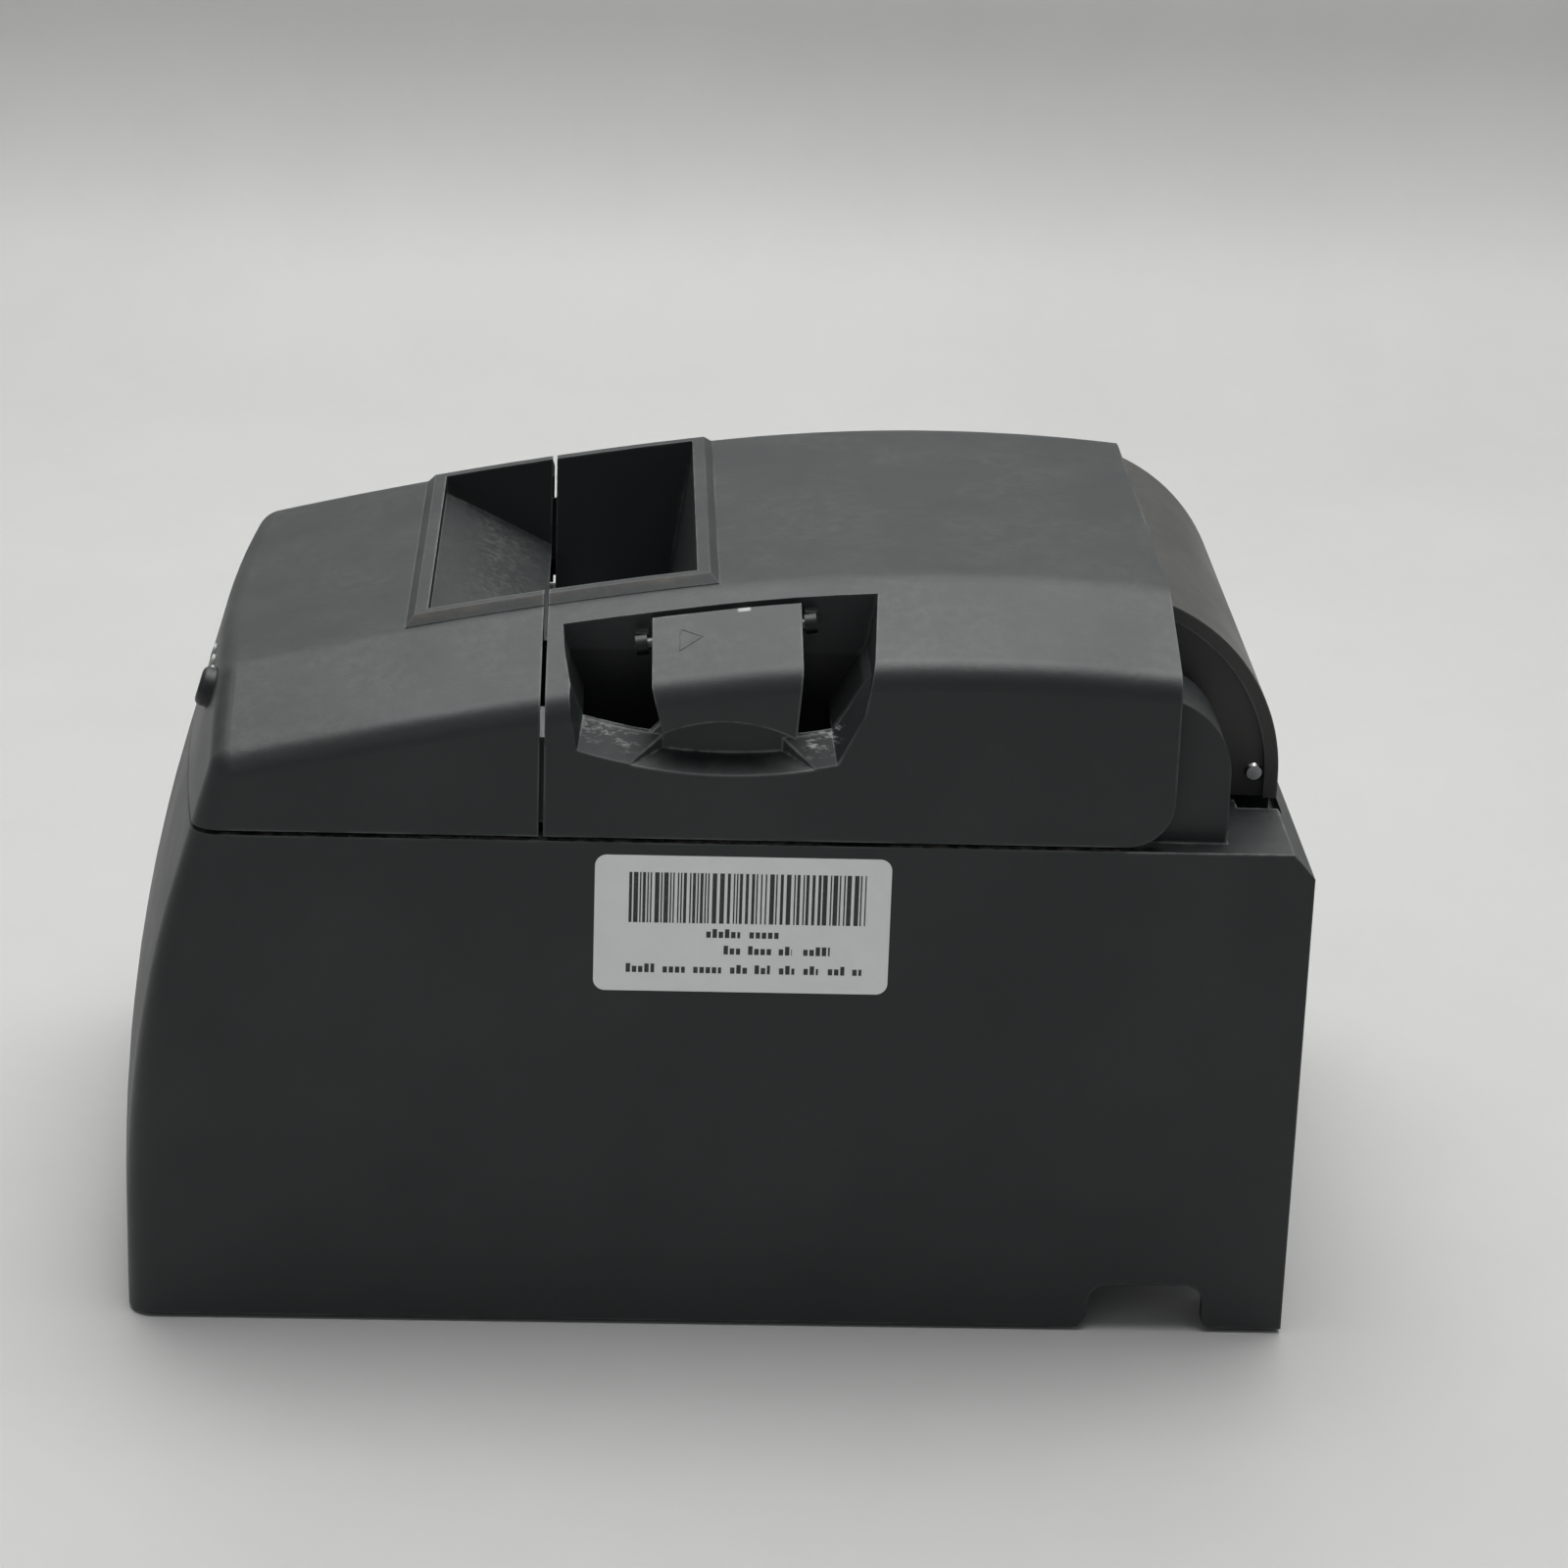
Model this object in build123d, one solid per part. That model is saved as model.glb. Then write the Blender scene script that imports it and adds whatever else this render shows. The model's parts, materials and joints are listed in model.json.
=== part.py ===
from build123d import *
import math
import os

# Receipt printer, drop-in roll type, millimetres.
# +Z is up, -Y is the front, the release lever is on the +X side.
# The origin is on the table under the middle of the outer box.

# ---------------------------------------------------------------- outer form
WIDTH = 142.0
DEPTH = 206.0
HEIGHT = 130.2            # crown of the cover above the table
SPLIT_Z = 90.0            # top of the lower case
SPLIT_GAP = 0.8           # shut line under the covers
FOOT_STEP = 0.8           # case edge above the table
CASE_WALL = 2.5
SKIN = 2.2                # wall of the two covers
BOW_R = 506.0             # plan bow of the front face
LEAN_DEG = 16.5           # how far the front face leans back
LEAN_R = 225.0            # side-view arc that leads into the lean
LEAN_START_Z = 18.0
CORNER_R = 5.0            # rounded corners of case and cover
CREST_R = 14.0            # soft crease beside the flat top
BAND_WIDTH = 25.8         # slanted band between flat top and side
BAND_DROP = 8.5
FRONT_COVER_LENGTH = 75.1
SHUT_GAP = 0.8            # shut line between the covers
COVER_REAR_INSET = 24.5   # rear edge of the cover from the back of the case

HALF_W = WIDTH / 2
FRONT_Y = -DEPTH / 2
REAR_Y = DEPTH / 2
SHUT_Y = FRONT_Y + FRONT_COVER_LENGTH
COVER_REAR_Y = REAR_Y - COVER_REAR_INSET
COVER_Z = SPLIT_Z + SPLIT_GAP
CREST_X = HALF_W - BAND_WIDTH

# Heights of the top line below its crown, front to rear.
TOP_FRONT_DROP = 23.8
TOP_KNEE_DROP = 10.4
TOP_SHUT_DROP = 3.0
TOP_REAR_DROP = 1.7
TOP_FRONT = (FRONT_Y + 3.0, HEIGHT - TOP_FRONT_DROP)
TOP_KNEE = (SHUT_Y - 15.1, HEIGHT - TOP_KNEE_DROP)
TOP_SHUT = (SHUT_Y + 29.5, HEIGHT - TOP_SHUT_DROP)
TOP_REAR = (COVER_REAR_Y, HEIGHT - TOP_REAR_DROP)

# ------------------------------------------------------- paper exit in the top
EXIT_HALF_W = 40.2        # clear half-width for 80 mm paper
EXIT_FRONT = 20.3         # front rim ahead of the shut line
EXIT_REAR = 25.7          # rear rim behind the shut line
EXIT_WALL = 2.0
RIM_W = 3.7               # raised rim round the recess
RIM_H = 1.7
RIM_BEVEL = 1.5
RAMP_TOP_DROP = 1.8       # ramp starts this far under the front rim
RAMP_LIP_Z = 107.2        # ramp lip at the shut line
EXIT_FLOOR_Z = 96.2
SLOT_W = 4.0              # paper slot behind the ramp lip

# ------------------------------------------------------------- hinge and roll
PIN_R = 1.7
PIN_CLEAR = 0.05
HINGE_Y = REAR_Y - 7.8
HINGE_Z = SPLIT_Z + 5.4
SHELL_R = 33.4            # outside of the shell over the roll
SHELL_T = 2.4
SHELL_LIP_T = 1.2
SHELL_HALF_W = 46.0
SHELL_Y = REAR_Y - 3.7 - SHELL_R
SHELL_Z = SPLIT_Z + 5.0
LIP_R = SHELL_R - SHELL_T + SHELL_LIP_T
LIP_RISE = min(LIP_R, HEIGHT - TOP_REAR_DROP - SKIN - SHELL_Z + 0.15)
SHELL_LIP_Y = SHELL_Y + math.sqrt(LIP_R**2 - LIP_RISE**2)  # front edge of the lip under the cover
SHELL_FOOT_Z = SPLIT_Z + 1.0
KNUCKLE_R = 4.0
KNUCKLE_X = 30.0
KNUCKLE_W = 8.0
WELL_DEPTH = 4.0
PLATE_IN = 42.6
PLATE_OUT = 44.8
EAR_R = 14.0
EAR_REAR_Y = REAR_Y - 14.8
EAR_TOP_Z = SPLIT_Z + 26.0
EAR_OUT_GAP = 4.7         # ear side from the side of the case
EAR_WALL = 2.0

# --------------------------------------------------------------- print station
PLATEN_Y = SHUT_Y + 8.9
PLATEN_Z = SPLIT_Z - 6.0
PLATEN_R = 6.0
PLATEN_HALF_W = 40.0
SHAFT_R = 3.0
RUN_CLEAR = 0.05          # radial running clearance
BUSH_R = 5.0
BODY_GAP = 0.3            # least gap between moving bodies
HEAD_GAP = 0.45
HEAD_HALF_W = 41.0
HEAD_FACE_Y = PLATEN_Y - PLATEN_R - HEAD_GAP
HEAD_T = 1.0
SINK_T = 5.5
HEAD_PIN_R = 1.5
HEAD_PIN_Y = HEAD_FACE_Y - HEAD_T - SINK_T / 2
HEAD_PIN_Z = PLATEN_Z - 14.0
SPRING_BAR_Y = HEAD_FACE_Y - HEAD_T - SINK_T - 10.0

CHASSIS_IN = 46.0         # inside of the chassis side plates
CHASSIS_T = 1.2
CHASSIS_OUT = CHASSIS_IN + CHASSIS_T
CHASSIS_FRONT_Y = SHUT_Y - 48.0
CHASSIS_REAR_Y = SHUT_Y + 46.0
BASE_Z = 2.0              # underside of the base plate
BASE_T = 1.2
BASE_TOP = BASE_Z + BASE_T

# ------------------------------------------------------------------ gear train
MODULE = 1.0
PRESSURE_ANGLE = 20.0
BACKLASH = 0.16
PLATEN_TEETH = 18
IDLER_TEETH = 34
PINION_TEETH = 12
GEAR_X = -53.0
GEAR_T = 4.0
PINION_TURN = 30.0        # pinion below the horizontal through the idler
IDLER_Z = PLATEN_Z - MODULE * (PLATEN_TEETH + IDLER_TEETH) / 2
PINION_REACH = MODULE * (IDLER_TEETH + PINION_TEETH) / 2
PINION_Y = PLATEN_Y - PINION_REACH * math.cos(math.radians(PINION_TURN))
PINION_Z = IDLER_Z - PINION_REACH * math.sin(math.radians(PINION_TURN))
POST_R = 2.0
MOTOR_R = 17.5
MOTOR_LENGTH = 22.0

# ---------------------------------------------------------------------- cutter
BLADE_Z = SPLIT_Z + 2.0   # underside of the moving blade
BLADE_T = 1.0
BLADE_HALF_W = 41.0
BLADE_REST_Y = SHUT_Y - 2.6
BLADE_LENGTH = 39.0
BLADE_STROKE = 9.0
BLADE_VEE = 5.0
CUTTER_MODULE = 0.8
CUTTER_TEETH = 14
CUTTER_X = -22.0
CUTTER_Y = SHUT_Y - 27.0
RACK_TEETH = 8
CUTTER_GEAR_Z = BLADE_Z + BLADE_T + BODY_GAP
CUTTER_GEAR_T = 3.0

# --------------------------------------------------------------- release lever
LEVER_FRONT_Y = SHUT_Y + 18.1
LEVER_REAR_Y = SHUT_Y + 43.2
LEVER_TOP_X = CREST_X + 6.6
LEVER_T = 2.0
LEVER_LOW_Z = SPLIT_Z + 18.4
LEVER_ARC_RISE = 3.3
LEVER_PIN_R = 1.0
LEVER_HUB_R = 2.3
LEVER_AXIS_DROP = 3.7     # axis under the cover's surface
LEVER_SPRING_SPACE = 3.5
LUG_R = 1.7               # lugs that hold the lever's pin
LUG_LENGTH = 2.0
LUG_GAP = 0.7
SCOOP_TOP_X = LEVER_TOP_X - 1.6
SCOOP_FRONT_Y = SHUT_Y + 5.7
SCOOP_FRONT_Z = SPLIT_Z + 16.2
SCOOP_REAR_Y = SHUT_Y + 49.4
SCOOP_REAR_Z = SPLIT_Z + 14.5
SCOOP_MIDDLE_Z = SPLIT_Z + 12.6   # lowest point of the curved outer edge
SCOOP_LEAN = 0.175        # how far the two upper edges lean apart
SCOOP_KNEE_Y = SCOOP_REAR_Y + 4.0
SCOOP_KNEE_Z = SCOOP_REAR_Z + 7.7
SCOOP_FLOOR_Z = SPLIT_Z + 12.0
SCOOP_WALL = 1.6
SILL_W = 4.4              # sloping sill inside the outer edge
SILL_RISE = 4.6
HOLLOW_TOP_Z = LEVER_LOW_Z + LEVER_ARC_RISE - 0.4   # wall behind the finger hollow
CATCH_Y = SHUT_Y + 30.7
CATCH_Z = SPLIT_Z + 5.0
CATCH_LENGTH = 3.0

# ------------------------------------------------------------------ paper tray
TRAY_R = 43.0
TRAY_T = 1.5
TRAY_Y = REAR_Y - 57.0
TRAY_Z = SPLIT_Z - 7.0
TRAY_HALF_W = 42.0

# --------------------------------------------------------- connectors and feet
BAY_FRONT_Y = REAR_Y - 41.0
BAY_TOP_Z = 36.0
BAY_HALF_W = 56.0
NOTCH_FRONT_Y = REAR_Y - 34.3
NOTCH_REAR_Y = REAR_Y - 14.1
NOTCH_TOP_Z = 9.0
NOTCH_R = 3.5
FRONT_FOOT_R = 8.0
FRONT_FOOT_X = HALF_W - 17.0
REAR_FOOT_R = 5.0
REAR_FOOT_X = HALF_W - 8.0
FOOT_CHAMFER = 0.4

# --------------------------------------------------------------- feed controls
BUTTON_X = 38.0
BUTTON_Z = SPLIT_Z + 14.5
BUTTON_R = 3.5
BUTTON_PROUD = 2.2
BUTTON_CLEAR = 0.3
LENS_R = 1.4
LENS_XS = (18.0, 24.0, 30.0)
FACE_LEAN = (0.0, -math.cos(math.radians(LEAN_DEG)), math.sin(math.radians(LEAN_DEG)))
SWITCH_X = -48.0
SWITCH_Z = 25.0
ROCKER_TILT = 8.0         # either way from the middle
COVER_FOOT_R = 8.0        # rounded lower rear corner of the cover

# --------------------------------------------------------------------- screws
SCREW_R = 1.25
BASE_SCREW_X = HALF_W - 9.5
BASE_SCREW_YS = (FRONT_Y + 25.0, -10.0, REAR_Y - 51.0)
FRAME_TOP_Z = SPLIT_Z + 15.5
FRAME_SCREWS = ((-30.0, SHUT_Y + 39.0), (30.0, SHUT_Y + 39.0))
CHASSIS_POSTS = ((-38.0, SHUT_Y - 42), (38.0, SHUT_Y - 42), (-38.0, SHUT_Y + 10), (38.0, SHUT_Y + 10))
POST_H = 12.0             # chassis floor above the base plate
TRAY_LEGS = ((REAR_Y - 76.0, BASE_TOP), (REAR_Y - 38.0, BAY_TOP_Z))
MOUNT_X = 30.0            # holes for a wall bracket
MOUNT_Y0 = -50.0
MOUNT_SPAN_Y = 80.0
MOUNT_R = 2.1

# ------------------------------------------------------- boards and connectors
HEAD_SPRING_XS = (-24.0, 0.0, 24.0)
BOARD_Z = BASE_TOP + 4.0
BOARD_T = 1.6
PORT_HALF_W = 46.0        # window in the wall behind the connectors
PORTS = {                 # middle x, middle z, half-width, half-height
    "power_socket": (-34.0, 21.0, 7.0, 7.0),
    "drawer_socket": (-14.0, 20.0, 6.6, 6.6),
    "usb_socket": (4.0, 20.0, 6.2, 5.6),
    "network_socket": (26.0, 20.5, 8.2, 7.0),
}
LABEL_W = 50.0
LABEL_H = 24.6
LABEL_Y = SHUT_Y + 9.2
LABEL_Z = SPLIT_Z - 26.8


def block(x0, x1, y0, y1, z0, z1):
    """A box given by its two corners."""
    middle = Pos((x0 + x1) / 2, (y0 + y1) / 2, (z0 + z1) / 2)
    return middle * Box(abs(x1 - x0), abs(y1 - y0), abs(z1 - z0))


def both_sides(shape):
    """The shape and its mirror image across the middle plane."""
    return shape + mirror(shape, about=Plane.YZ)


def pair(shape):
    """Two separate solids, left and right."""
    return Compound(children=[shape, mirror(shape, about=Plane.YZ)])


def rod_x(x0, x1, y, z, radius):
    """A round bar along X."""
    bar = Rot(0, 90, 0) * Cylinder(radius, abs(x1 - x0))
    return Pos((x0 + x1) / 2, y, z) * bar


def rod_y(y0, y1, x, z, radius):
    """A round bar along Y."""
    bar = Rot(90, 0, 0) * Cylinder(radius, abs(y1 - y0))
    return Pos(x, (y0 + y1) / 2, z) * bar


def rod_z(z0, z1, x, y, radius):
    """A round bar along Z."""
    return Pos(x, y, (z0 + z1) / 2) * Cylinder(radius, abs(z1 - z0))


def slab_x(points, x0, x1):
    """An outline of (y, z) points given a thickness along X."""
    face = Plane.YZ * make_face(Polyline(*points, close=True))
    return Pos(x0, 0, 0) * extrude(face, x1 - x0)


def slab_z(points, z0, z1):
    """An outline of (x, y) points given a thickness along Z."""
    return Pos(0, 0, z0) * extrude(make_face(Polyline(*points, close=True)), z1 - z0)


# ------------------------------------------------------------ shared surfaces
def front_limit(inset):
    """Everything behind the bowed, leaning front face, moved in by inset."""
    radius = BOW_R - inset
    low, high = -5.0, HEIGHT + 40.0
    arc = CenterArc((radius - LEAN_R, LEAN_START_Z), LEAN_R, 0, LEAN_DEG)
    knee = arc @ 1
    lean = (high - knee.Y) * math.tan(math.radians(LEAN_DEG))
    sides = Polyline(
        (radius, LEAN_START_Z),
        (radius, low),
        (0, low),
        (0, high),
        (knee.X - lean, high),
        (knee.X, knee.Y),
    )
    profile = Plane.XZ * make_face([sides, arc])
    return Pos(0, FRONT_Y + BOW_R, 0) * revolve(profile, Axis.Z, 360)


def front_face_y(z):
    """Y of the front face at the middle of the printer at height z."""
    turn = math.radians(LEAN_DEG)
    rise = z - LEAN_START_Z
    if rise < LEAN_R * math.sin(turn):
        return FRONT_Y + LEAN_R - math.sqrt(LEAN_R**2 - rise**2)
    knee = LEAN_R * (1 - math.cos(turn))
    return FRONT_Y + knee + (rise - LEAN_R * math.sin(turn)) * math.tan(turn)


def top_prism(drop, half_w, low_z, high_z=None):
    """The side outline under (or, with high_z, over) the lowered top line."""
    front = (TOP_FRONT[0], TOP_FRONT[1] - drop)
    knee = (TOP_KNEE[0], TOP_KNEE[1] - drop)
    shut = (TOP_SHUT[0], TOP_SHUT[1] - drop)
    rear = (TOP_REAR[0], TOP_REAR[1] - drop)
    arc_front = ThreePointArc(front, knee, shut)
    arc_rear = TangentArc(shut, rear, tangent=arc_front % 1)
    slope = arc_front % 0
    reach_y = front[0] - 15.0
    reach_z = front[1] - 15.0 * slope.Y / slope.X
    end_z = low_z if high_z is None else high_z
    sides = Polyline(rear, (rear[0], end_z), (reach_y, end_z), (reach_y, reach_z), front)
    face = Plane.YZ * make_face([arc_front, arc_rear, sides])
    return face if high_z else extrude(face, half_w, both=True)


def cover_form(drop, half_w, inset, low_z):
    """The outer form of both covers together, lowered and moved inwards."""
    body = top_prism(drop, half_w, low_z) & front_limit(inset)
    above = Pos(CREST_X, 0, 0) * top_prism(drop, 0, low_z, HEIGHT + 40.0)
    slope = Vector(1, 0, -BAND_DROP / BAND_WIDTH)
    wedge = extrude(above, amount=BAND_WIDTH * 2, dir=slope)
    return body - wedge - mirror(wedge, about=Plane.YZ)


def cover_outside():
    """The covers' outer form with its creases and corners rounded."""
    body = cover_form(0, HALF_W, 0, COVER_Z)
    crests = [e for e in body.edges() if abs(abs(e.center().X) - CREST_X) < 0.3 and e.length > 40]
    body = fillet(crests, CREST_R)
    rims = []
    for edge in body.edges():
        at = edge.center()
        side = abs(abs(at.X) - HALF_W) < 0.6
        if side and edge.length > 40 and COVER_Z + 5 < at.Z and at.Y < COVER_REAR_Y - 1:
            rims.append(edge)
        elif side and at.Y < TOP_FRONT[0] + 20 and at.Z > COVER_Z + 1 and edge.length < 40:
            rims.append(edge)
        elif at.Y < TOP_FRONT[0] + 25 and at.Z > COVER_Z + 8 and abs(at.X) < HALF_W - 1 and edge.length > 2:
            if abs(abs(at.X) - CREST_X) > 8 or edge.length < 15:
                rims.append(edge)
    return fillet(rims, CORNER_R)


def band_z(x, y):
    """Height of the slanted band of the cover at (x, y)."""
    front, knee, shut = TOP_FRONT, TOP_KNEE, TOP_SHUT
    share = (y - knee[0]) / (shut[0] - knee[0])
    top = knee[1] + share * (shut[1] - knee[1])
    return top - BAND_DROP * max(0.0, x - CREST_X) / BAND_WIDTH


# ------------------------------------------------------------------ lower case
def lower_case():
    """The deep case: shell, rear ledge with ears, hinge knuckles, cable bay."""
    body = block(-HALF_W, HALF_W, FRONT_Y - 5, REAR_Y, FOOT_STEP, SPLIT_Z) & front_limit(0)
    chamfer_y, chamfer_z = 3.8, 4.4
    body -= slab_x(
        [(REAR_Y - chamfer_y, SPLIT_Z), (REAR_Y, SPLIT_Z - chamfer_z), (REAR_Y + 1, SPLIT_Z + 1)],
        -HALF_W - 1,
        HALF_W + 1,
    )
    sides = [e for e in body.edges() if abs(abs(e.center().X) - HALF_W) < 0.6]
    corners = [e for e in sides if e.center().Y < FRONT_Y + 20]
    body = fillet([e for e in corners if e.length < 80 and e.bounding_box().size.Z > 10], CORNER_R)
    inside = block(
        -HALF_W + CASE_WALL,
        HALF_W - CASE_WALL,
        FRONT_Y - 5,
        REAR_Y - CASE_WALL,
        -1,
        SPLIT_Z - CASE_WALL,
    ) & front_limit(CASE_WALL)
    body -= inside
    tray_gap = TRAY_R + TRAY_T + 0.6
    deck = HALF_W - CASE_WALL - 2.0
    body -= block(-deck, deck, FRONT_Y + 21, COVER_REAR_Y - 18.5, SPLIT_Z - 10, SPLIT_Z + 1)
    tray_side = TRAY_HALF_W + TRAY_T + 0.7
    body -= block(-tray_side, tray_side, COVER_REAR_Y - 19, TRAY_Y + tray_gap, SPLIT_Z - 10, SPLIT_Z + 1)
    body += hinge_well()
    body -= well_space()
    body += knuckles()
    body += both_sides(ear(0)) - both_sides(ear(EAR_WALL))
    body -= both_sides(ear(EAR_WALL))
    body += cable_bay()
    body -= cable_notch()
    body -= block(-BAY_HALF_W, BAY_HALF_W, REAR_Y - 5, REAR_Y + 1, -1, BAY_TOP_Z - 10)
    body -= block(-PORT_HALF_W, PORT_HALF_W, BAY_FRONT_Y - 1, BAY_FRONT_Y + 4, 10, 32)
    body += foot_blocks()
    body -= switch_window(0)
    return body


def hinge_well():
    """Thicker deck that carries the hinge knuckles."""
    side = SHELL_HALF_W + 4.0
    return block(-side, side, HINGE_Y - 4.1, REAR_Y - CASE_WALL + 0.1, SPLIT_Z - 6.5, SPLIT_Z - 2.4)


def well_space():
    """The sunk place in the ledge where the shell's foot swings."""
    side = SHELL_HALF_W + 2.7
    return block(-side, side, HINGE_Y - 3.0, REAR_Y - 2.8, SPLIT_Z - WELL_DEPTH, SPLIT_Z + 1)


def knuckles():
    """Two bored lugs that hold the hinge shaft."""
    lugs = Part()
    for x in (KNUCKLE_X, -KNUCKLE_X - KNUCKLE_W):
        lug = rod_x(x, x + KNUCKLE_W, HINGE_Y, HINGE_Z, KNUCKLE_R)
        y0, y1 = HINGE_Y - KNUCKLE_R, HINGE_Y + KNUCKLE_R
        lug += block(x, x + KNUCKLE_W, y0, y1, SPLIT_Z - WELL_DEPTH - 0.1, HINGE_Z)
        lugs += lug - rod_x(x - 1, x + KNUCKLE_W + 1, HINGE_Y, HINGE_Z, PIN_R + PIN_CLEAR)
    return lugs


def ear(inset):
    """One of the two rounded towers beside the roll, or its hollow."""
    x0 = SHELL_HALF_W + 2.5 + inset
    x1 = HALF_W - EAR_OUT_GAP - inset
    rear, top, radius = EAR_REAR_Y - inset, EAR_TOP_Z - inset, EAR_R - inset
    low = SPLIT_Z - (10.0 if inset else 1.0)
    front = COVER_REAR_Y - 18.5 + inset
    form = block(x0, x1, front, rear, low, top)
    edge = [e for e in form.edges() if e.center().Y > rear - 0.1 and e.center().Z > top - 0.1]
    return fillet(edge, radius)


def cable_bay():
    """Partition and ceiling round the sockets at the bottom of the back."""
    side = HALF_W - CASE_WALL + 0.1
    back = REAR_Y - CASE_WALL + 0.1
    wall = block(-side, side, BAY_FRONT_Y, BAY_FRONT_Y + 2.4, FOOT_STEP, BAY_TOP_Z)
    return wall + block(-side, side, BAY_FRONT_Y, back, BAY_TOP_Z - 2.4, BAY_TOP_Z)


def cable_notch():
    """The cable way through both side walls at the back, with flared feet."""
    y0, y1, top, low = NOTCH_FRONT_Y, NOTCH_REAR_Y, NOTCH_TOP_Z, FOOT_STEP
    outline = [(y0 - 1.6, low - 3), (y0 - 1.6, low), (y0, low + 2.4), (y0, top), (y1, top), (y1, low + 1.4)]
    outline += [(y1 + 1.2, low), (y1 + 1.2, low - 3)]
    notch = slab_x(outline, -HALF_W - 1, HALF_W + 1)
    roof = [e for e in notch.edges() if e.center().Z > top - 0.1 and e.length > WIDTH]
    return fillet(roof, NOTCH_R)


def foot_blocks():
    """Solid corners behind the notches for the rear feet, and screw bosses."""
    side = HALF_W - CASE_WALL + 0.1
    rear = block(side - 11, side, NOTCH_REAR_Y + 1.4, REAR_Y - CASE_WALL + 0.1, BASE_Z, 9)
    bosses = Part()
    for y in BASE_SCREW_YS:
        boss = block(side - 11, side, y - 4, y + 4, BASE_TOP, 14)
        bosses += boss - rod_z(BASE_TOP - 1, 12, BASE_SCREW_X, y, SCREW_R)
    return both_sides(rear + bosses)


def switch_window(margin):
    """The place of the rocker switch in the front wall."""
    flat = front_face_y(SWITCH_Z) + 3.6
    half_w, half_h = 9.5 - margin, 7.5 - margin
    x0, x1 = SWITCH_X - half_w, SWITCH_X + half_w
    pocket = block(x0, x1, FRONT_Y - 3, flat, SWITCH_Z - half_h, SWITCH_Z + half_h)
    window = block(SWITCH_X - 7, SWITCH_X + 7, FRONT_Y - 3, flat + 6, SWITCH_Z - 5.5, SWITCH_Z + 5.5)
    return pocket + window


# ----------------------------------------------------------------- the covers
def exit_rim():
    """The raised, bevelled rim round the paper exit."""
    half_w = EXIT_HALF_W + RIM_W
    y0, y1 = SHUT_Y - EXIT_FRONT - RIM_W, SHUT_Y + EXIT_REAR + RIM_W
    rim = top_prism(-RIM_H, half_w, COVER_Z + 10) & block(-half_w, half_w, y0, y1, COVER_Z, HEIGHT + 20)
    tops = [e for e in rim.edges() if e.center().Z > top_z(e.center().Y) + RIM_H - 1.0]
    return chamfer(tops, RIM_BEVEL)


def top_z(y):
    """Rough height of the flat top at y."""
    return band_z(0, min(y, TOP_SHUT[0] + 8))


def exit_space(grow, front):
    """The recess in the top: the ramp half (front) or the deep rear half."""
    half_w = EXIT_HALF_W + grow
    high = HEIGHT + 20.0
    y_front = SHUT_Y - EXIT_FRONT - grow
    y_rear = SHUT_Y + EXIT_REAR + grow
    ramp_top = top_z(SHUT_Y - EXIT_FRONT) - RAMP_TOP_DROP - grow
    lip_z = RAMP_LIP_Z - grow
    floor = EXIT_FLOOR_Z - grow
    lean = 4.6
    if front:
        outline = [(y_front, high), (y_front, ramp_top), (SHUT_Y, lip_z), (SHUT_Y, high)]
    else:
        outline = [(SHUT_Y, high), (SHUT_Y, floor), (y_rear - lean, floor)]
        outline += [(y_rear, top_z(y_rear)), (y_rear, high)]
    return slab_x(outline, -half_w, half_w)


def covers_with_exit(front):
    """Both covers' shell with the exit recess, before the shut line is cut."""
    body = cover_outside() + exit_rim()
    hollow = cover_form(SKIN, HALF_W - SKIN, SKIN, COVER_Z - 5)
    hollow -= exit_space(EXIT_WALL, front)
    return body - hollow - exit_space(0, front)


def front_cover():
    """The fixed cover over the cutter, with the paper ramp."""
    body = covers_with_exit(True)
    body &= block(-HALF_W, HALF_W, FRONT_Y - 5, SHUT_Y - SHUT_GAP / 2, COVER_Z - 1, HEIGHT + 20)
    deck = HALF_W - CASE_WALL - 2.0
    for y in (SHUT_Y - 44, SHUT_Y - 12):
        web = block(deck - 2.2, HALF_W - SKIN + 0.1, y, y + 8, COVER_Z + 0.5, COVER_Z + 4)
        tab = block(deck - 2.2, deck - BODY_GAP, y, y + 8, SPLIT_Z - 6, COVER_Z + 4)
        body += both_sides(web + tab)
    body -= button_tool(BUTTON_R + BUTTON_CLEAR)
    for x in LENS_XS:
        body -= lens_tool(x, LENS_R)
    return body


def face_plane(x, z):
    """A plane square to the leaning front face, its normal pointing out."""
    bow = BOW_R - math.sqrt(BOW_R**2 - x**2)
    origin = (x, front_face_y(z) + bow, z)
    return Plane(origin=origin, x_dir=(1, 0, 0), z_dir=FACE_LEAN)


def button_tool(radius):
    """The bore for the feed button."""
    return face_plane(BUTTON_X, BUTTON_Z) * Cylinder(radius, 12)


def lens_tool(x, radius):
    """The bore for one status lens."""
    return face_plane(x, BUTTON_Z) * Cylinder(radius, 12)


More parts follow.
